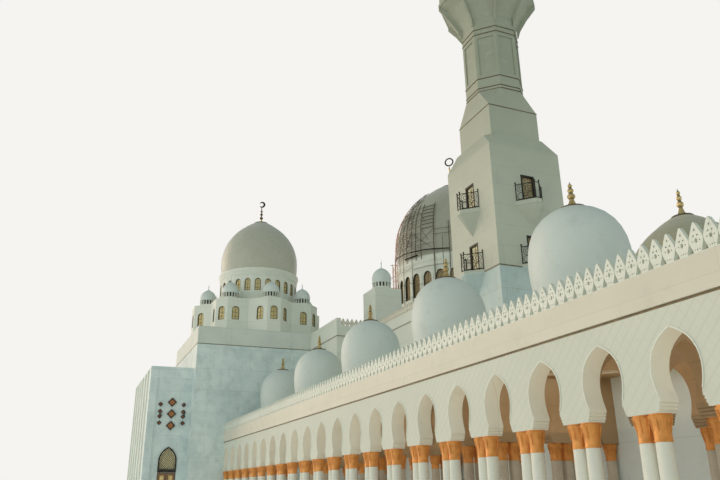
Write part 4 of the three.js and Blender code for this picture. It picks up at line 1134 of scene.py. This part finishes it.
tower.extend(web, [(a, 0.79 * OCT * math.cos(a), 0.79 * OCT * math.sin(a), 0) for a in EIGHTHS])
shape = [(1.33, 14.34), (1.37, 14.36), (1.37, 14.46), (1.34, 14.48), (1.34, 14.78), (1.37, 14.79),
         (1.37, 14.85), (1.28, 14.85), (1.28, 14.5), (0, 14.5)]
tower.lathe(shape, 8, FACING, turn=PI / 8, wide=OCT)
whole = Geo().extend(tower, [(0, mx, my, 0)])
both("minaret_octagons", whole, ["minaret_shaft"])

stage = Geo()
stage.lathe([
    (0.66, 14.5), (0.66, 14.62), (0.62, 14.65), (0.60, 17.15), (0.64, 17.2), (0.7, 17.35), (0.8, 17.55),
    (0.92, 17.72), (0.95, 17.76), (0.95, 18.0), (0.9, 18.0), (0.9, 17.85), (0, 17.85),
], 24, FACING, mx, my)
rib = Geo().bar((0.61, 0, 14.7), (0.6, 0, 17.1), 0.03, FACING, 6)
stage.extend(rib, [(a, mx, my, 0) for a in turns(12)])
post = Geo().lathe([(0.06, 17.85), (0.045, 17.95), (0.045, 18.75), (0.07, 18.86)], 10, SHAFT, 0.46)
stage.extend(post, [(a, mx, my, 0) for a in EIGHTHS])
stage.lathe([(0.22, 17.85), (0.22, 18.86)], 16, PLASTER, mx, my)
stage.lathe([
    (0.2, 18.84), (0.53, 18.84), (0.53, 18.95), (0.58, 19.05), (0.58, 19.15), (0.5, 19.2), (0, 19.2),
], 24, FACING, mx, my)
both("minaret_lanterns", stage, ["minaret_stage"])

tip = Geo()
tip.lathe([
    (0.46, 19.2), (0.52, 19.28), (0.56, 19.4), (0.54, 19.52), (0.46, 19.66), (0.34, 19.8), (0.2, 19.92),
    (0.09, 20.02), (0.05, 20.1), (0.08, 20.16), (0.09, 20.22), (0.06, 20.28), (0.03, 20.31), (0.05, 20.37),
    (0.055, 20.41), (0.03, 20.46), (0.015, 20.5), (0.012, 20.6),
], 24, GOLD, mx, my)
tip.ring((mx, my, 20.715), 0.095, 0.024, GOLD, PI / 4, 24, (PI * 0.62, PI * 2.38))
both("minaret_tips", tip, ["minaret_finial"])


# Court pavilions.

px, py = PAVILION
WEST_SIDE, EAST_SIDE, SOUTH_SIDE, NORTH_SIDE = px - 1.3, px + 1.3, -7.92, -5.32
PAVILION_TOP = 2.8
court = Geo()
court.box(WEST_SIDE, EAST_SIDE, COURT, -6.65, FLOOR, ROOF, WALL)
for x0 in (px - 1.3, px + 1.15):
    court.box(x0, x0 + 0.15, -6.65, -5.47, FLOOR, ROOF, WALL)
wall = Geo().panel(cut_wall(1.3, ROOF, [arch_outline(0.8, FLOOR, 1.5, 1.95, 10)]), 0, 0.15, WALL)
court.extend(wall, [(PI, px, NORTH_SIDE, 0)])
court.box(WEST_SIDE, EAST_SIDE, SOUTH_SIDE, NORTH_SIDE, ROOF, PAVILION_TOP, WALL)
corners = rect(WEST_SIDE, EAST_SIDE, SOUTH_SIDE, NORTH_SIDE)
for k in range(4):
    court.extend(leaf(0.15), leaf_places(*corners[k], *corners[(k + 1) % 4], 2.798, k * PI / 2))
shape = [(1.08, PAVILION_TOP), (1.08, 2.95), (1.05, 2.97), (1.05, 3.22), (1.09, 3.26), (1.1, 3.32)]
court.lathe(shape, 64, WALL, px, py)
court.lathe(dome_shape(1.13, 3.3, 5.08), 72, OLIVE, px, py)
court.lathe([(0.17, 5.055), (0.205, 5.065), (0.21, 5.08), (0.19, 5.1), (0.15, 5.105)], 40, BRONZE, px, py)
court.lathe([(0.15, 5.1), (0, 5.11)], 40, GOLD, px, py)
court.extend(finial(5.1, 1.35), [(0, px, py, 0)])
both("court_pavilions", court, ["court_pavilion"])


# CAD nodes that stay: how a name starts and its material. The rest are white cladding.

KEPT = {"door": WOOD, "hall_roof": PAVING, "floor": PAVING, "arcade_back": SHADED, "tower_base": TOWER_STONE,
        "wing": MARBLE, "minaret_body": FACING}
for name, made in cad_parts.items():
    found = [material for start, material in KEPT.items() if name.startswith(start)]
    made.data.materials.clear()
    made.data.materials.append(found[0] if found else WALL)


# Floor, light and camera.

scene = bpy.context.scene
ground = bpy.data.meshes.new("studio_floor")
ground.from_pydata([(x, y, -0.001) for x, y in rect(-500, 500, -500, 500)], [], [(0, 1, 2, 3)])
pale = bpy.data.materials.new("studio_pale")
pale.use_nodes = True
wire(pale.node_tree, pale.node_tree.nodes["Principled BSDF"], {
    "Base Color": (0.93, 0.92, 0.88), "Roughness": 0.9,
    "Emission Color": (0.97, 0.96, 0.92), "Emission Strength": 0.22,
})
ground.materials.append(pale)
studio = bpy.data.objects.new("studio_floor", ground)
scene.collection.objects.link(studio)

# A sky that is bright at the horizon lights the model; the camera sees a plain pale backdrop.
world = bpy.data.worlds.new("studio")
scene.world = world
world.use_nodes = True
tree = world.node_tree
sky = tree.nodes["Background"]
x, _, z = split(tree, node(tree, "ShaderNodeTexCoord", {})["Generated"])
horizon = mixed(tree, ramp(tree, x, -1, 1), (1.35, 1.13, 0.99), (1.0, 1.12, 1.03))
wire(tree, sky, {
    "Color": mixed(tree, ramp(tree, z, 0, 0.5), horizon, (0.20, 0.25, 0.25)), "Strength": 1.12,
})
backdrop = node(tree, "ShaderNodeBackground", {"Color": (0.96, 0.95, 0.92), "Strength": 0.95})[0]
seen = node(tree, "ShaderNodeLightPath", {})["Is Camera Ray"]
blend = node(tree, "ShaderNodeMixShader", {0: seen, 1: sky.outputs[0], 2: backdrop})[0]
wire(tree, tree.nodes["World Output"], {"Surface": blend})
scene.view_settings.view_transform = "Standard"


def lamp(name, kind, colour, power):
    data = bpy.data.lights.new(name, kind)
    data.color, data.energy = colour, power
    made = bpy.data.objects.new(name, data)
    scene.collection.objects.link(made)
    return made, data


# Sunlight from an azimuth, counted clockwise in plan from -x, and an elevation, both in degrees.
for name, azimuth, elevation, colour, power, spread in (
    ("low_warm", -35, 16, (1.0, 0.78, 0.57), 0.75, 40), ("soft_fill", -100, 6, (1.0, 1.0, 0.94), 0.4, 70),
):
    made, data = lamp(name, "SUN", colour, power)
    data.angle = math.radians(spread)
    a, e = math.radians(azimuth), math.radians(elevation)
    source = Vector((-math.cos(a) * math.cos(e), math.sin(a) * math.cos(e), math.sin(e)))
    made.rotation_euler = source.to_track_quat("Z", "Y").to_euler()

# Soft light in the aisles: cool from the ceiling, and warm as if from the paving outside.
for side, sign in (("south", -1), ("north", 1)):
    for way, z, turn, colour, power in (
        ("down", 2.1, 0, (0.95, 1.0, 0.98), 10), ("up", 1.25, PI, (1.0, 0.66, 0.36), 7),
    ):
        made, data = lamp(f"aisle_{side}_{way}", "AREA", colour, power)
        data.shape = "RECTANGLE"
        data.size, data.size_y = 22.5 * BAY, 2.4 * BAY
        made.location = (3.2 * BAY, sign * 9.85 * BAY, z * BAY)
        made.rotation_euler = (turn, 0, 0)
        made.visible_camera = False

camera = bpy.data.cameras.new("camera")
camera.sensor_width = 36
camera.lens = 34.1
camera.clip_start = 0.05
camera.clip_end = 200
shot = bpy.data.objects.new("camera", camera)
# Yaw, pitch from straight down, and roll, in degrees.
stand = Matrix.Translation((16.91 * BAY, -16.7 * BAY, 0.444 * BAY))
for degrees, axis in ((67.43, "Z"), (110.09, "X"), (-0.71, "Z")):
    stand @= Matrix.Rotation(math.radians(degrees), 4, axis)
shot.matrix_world = stand
scene.collection.objects.link(shot)
scene.camera = shot
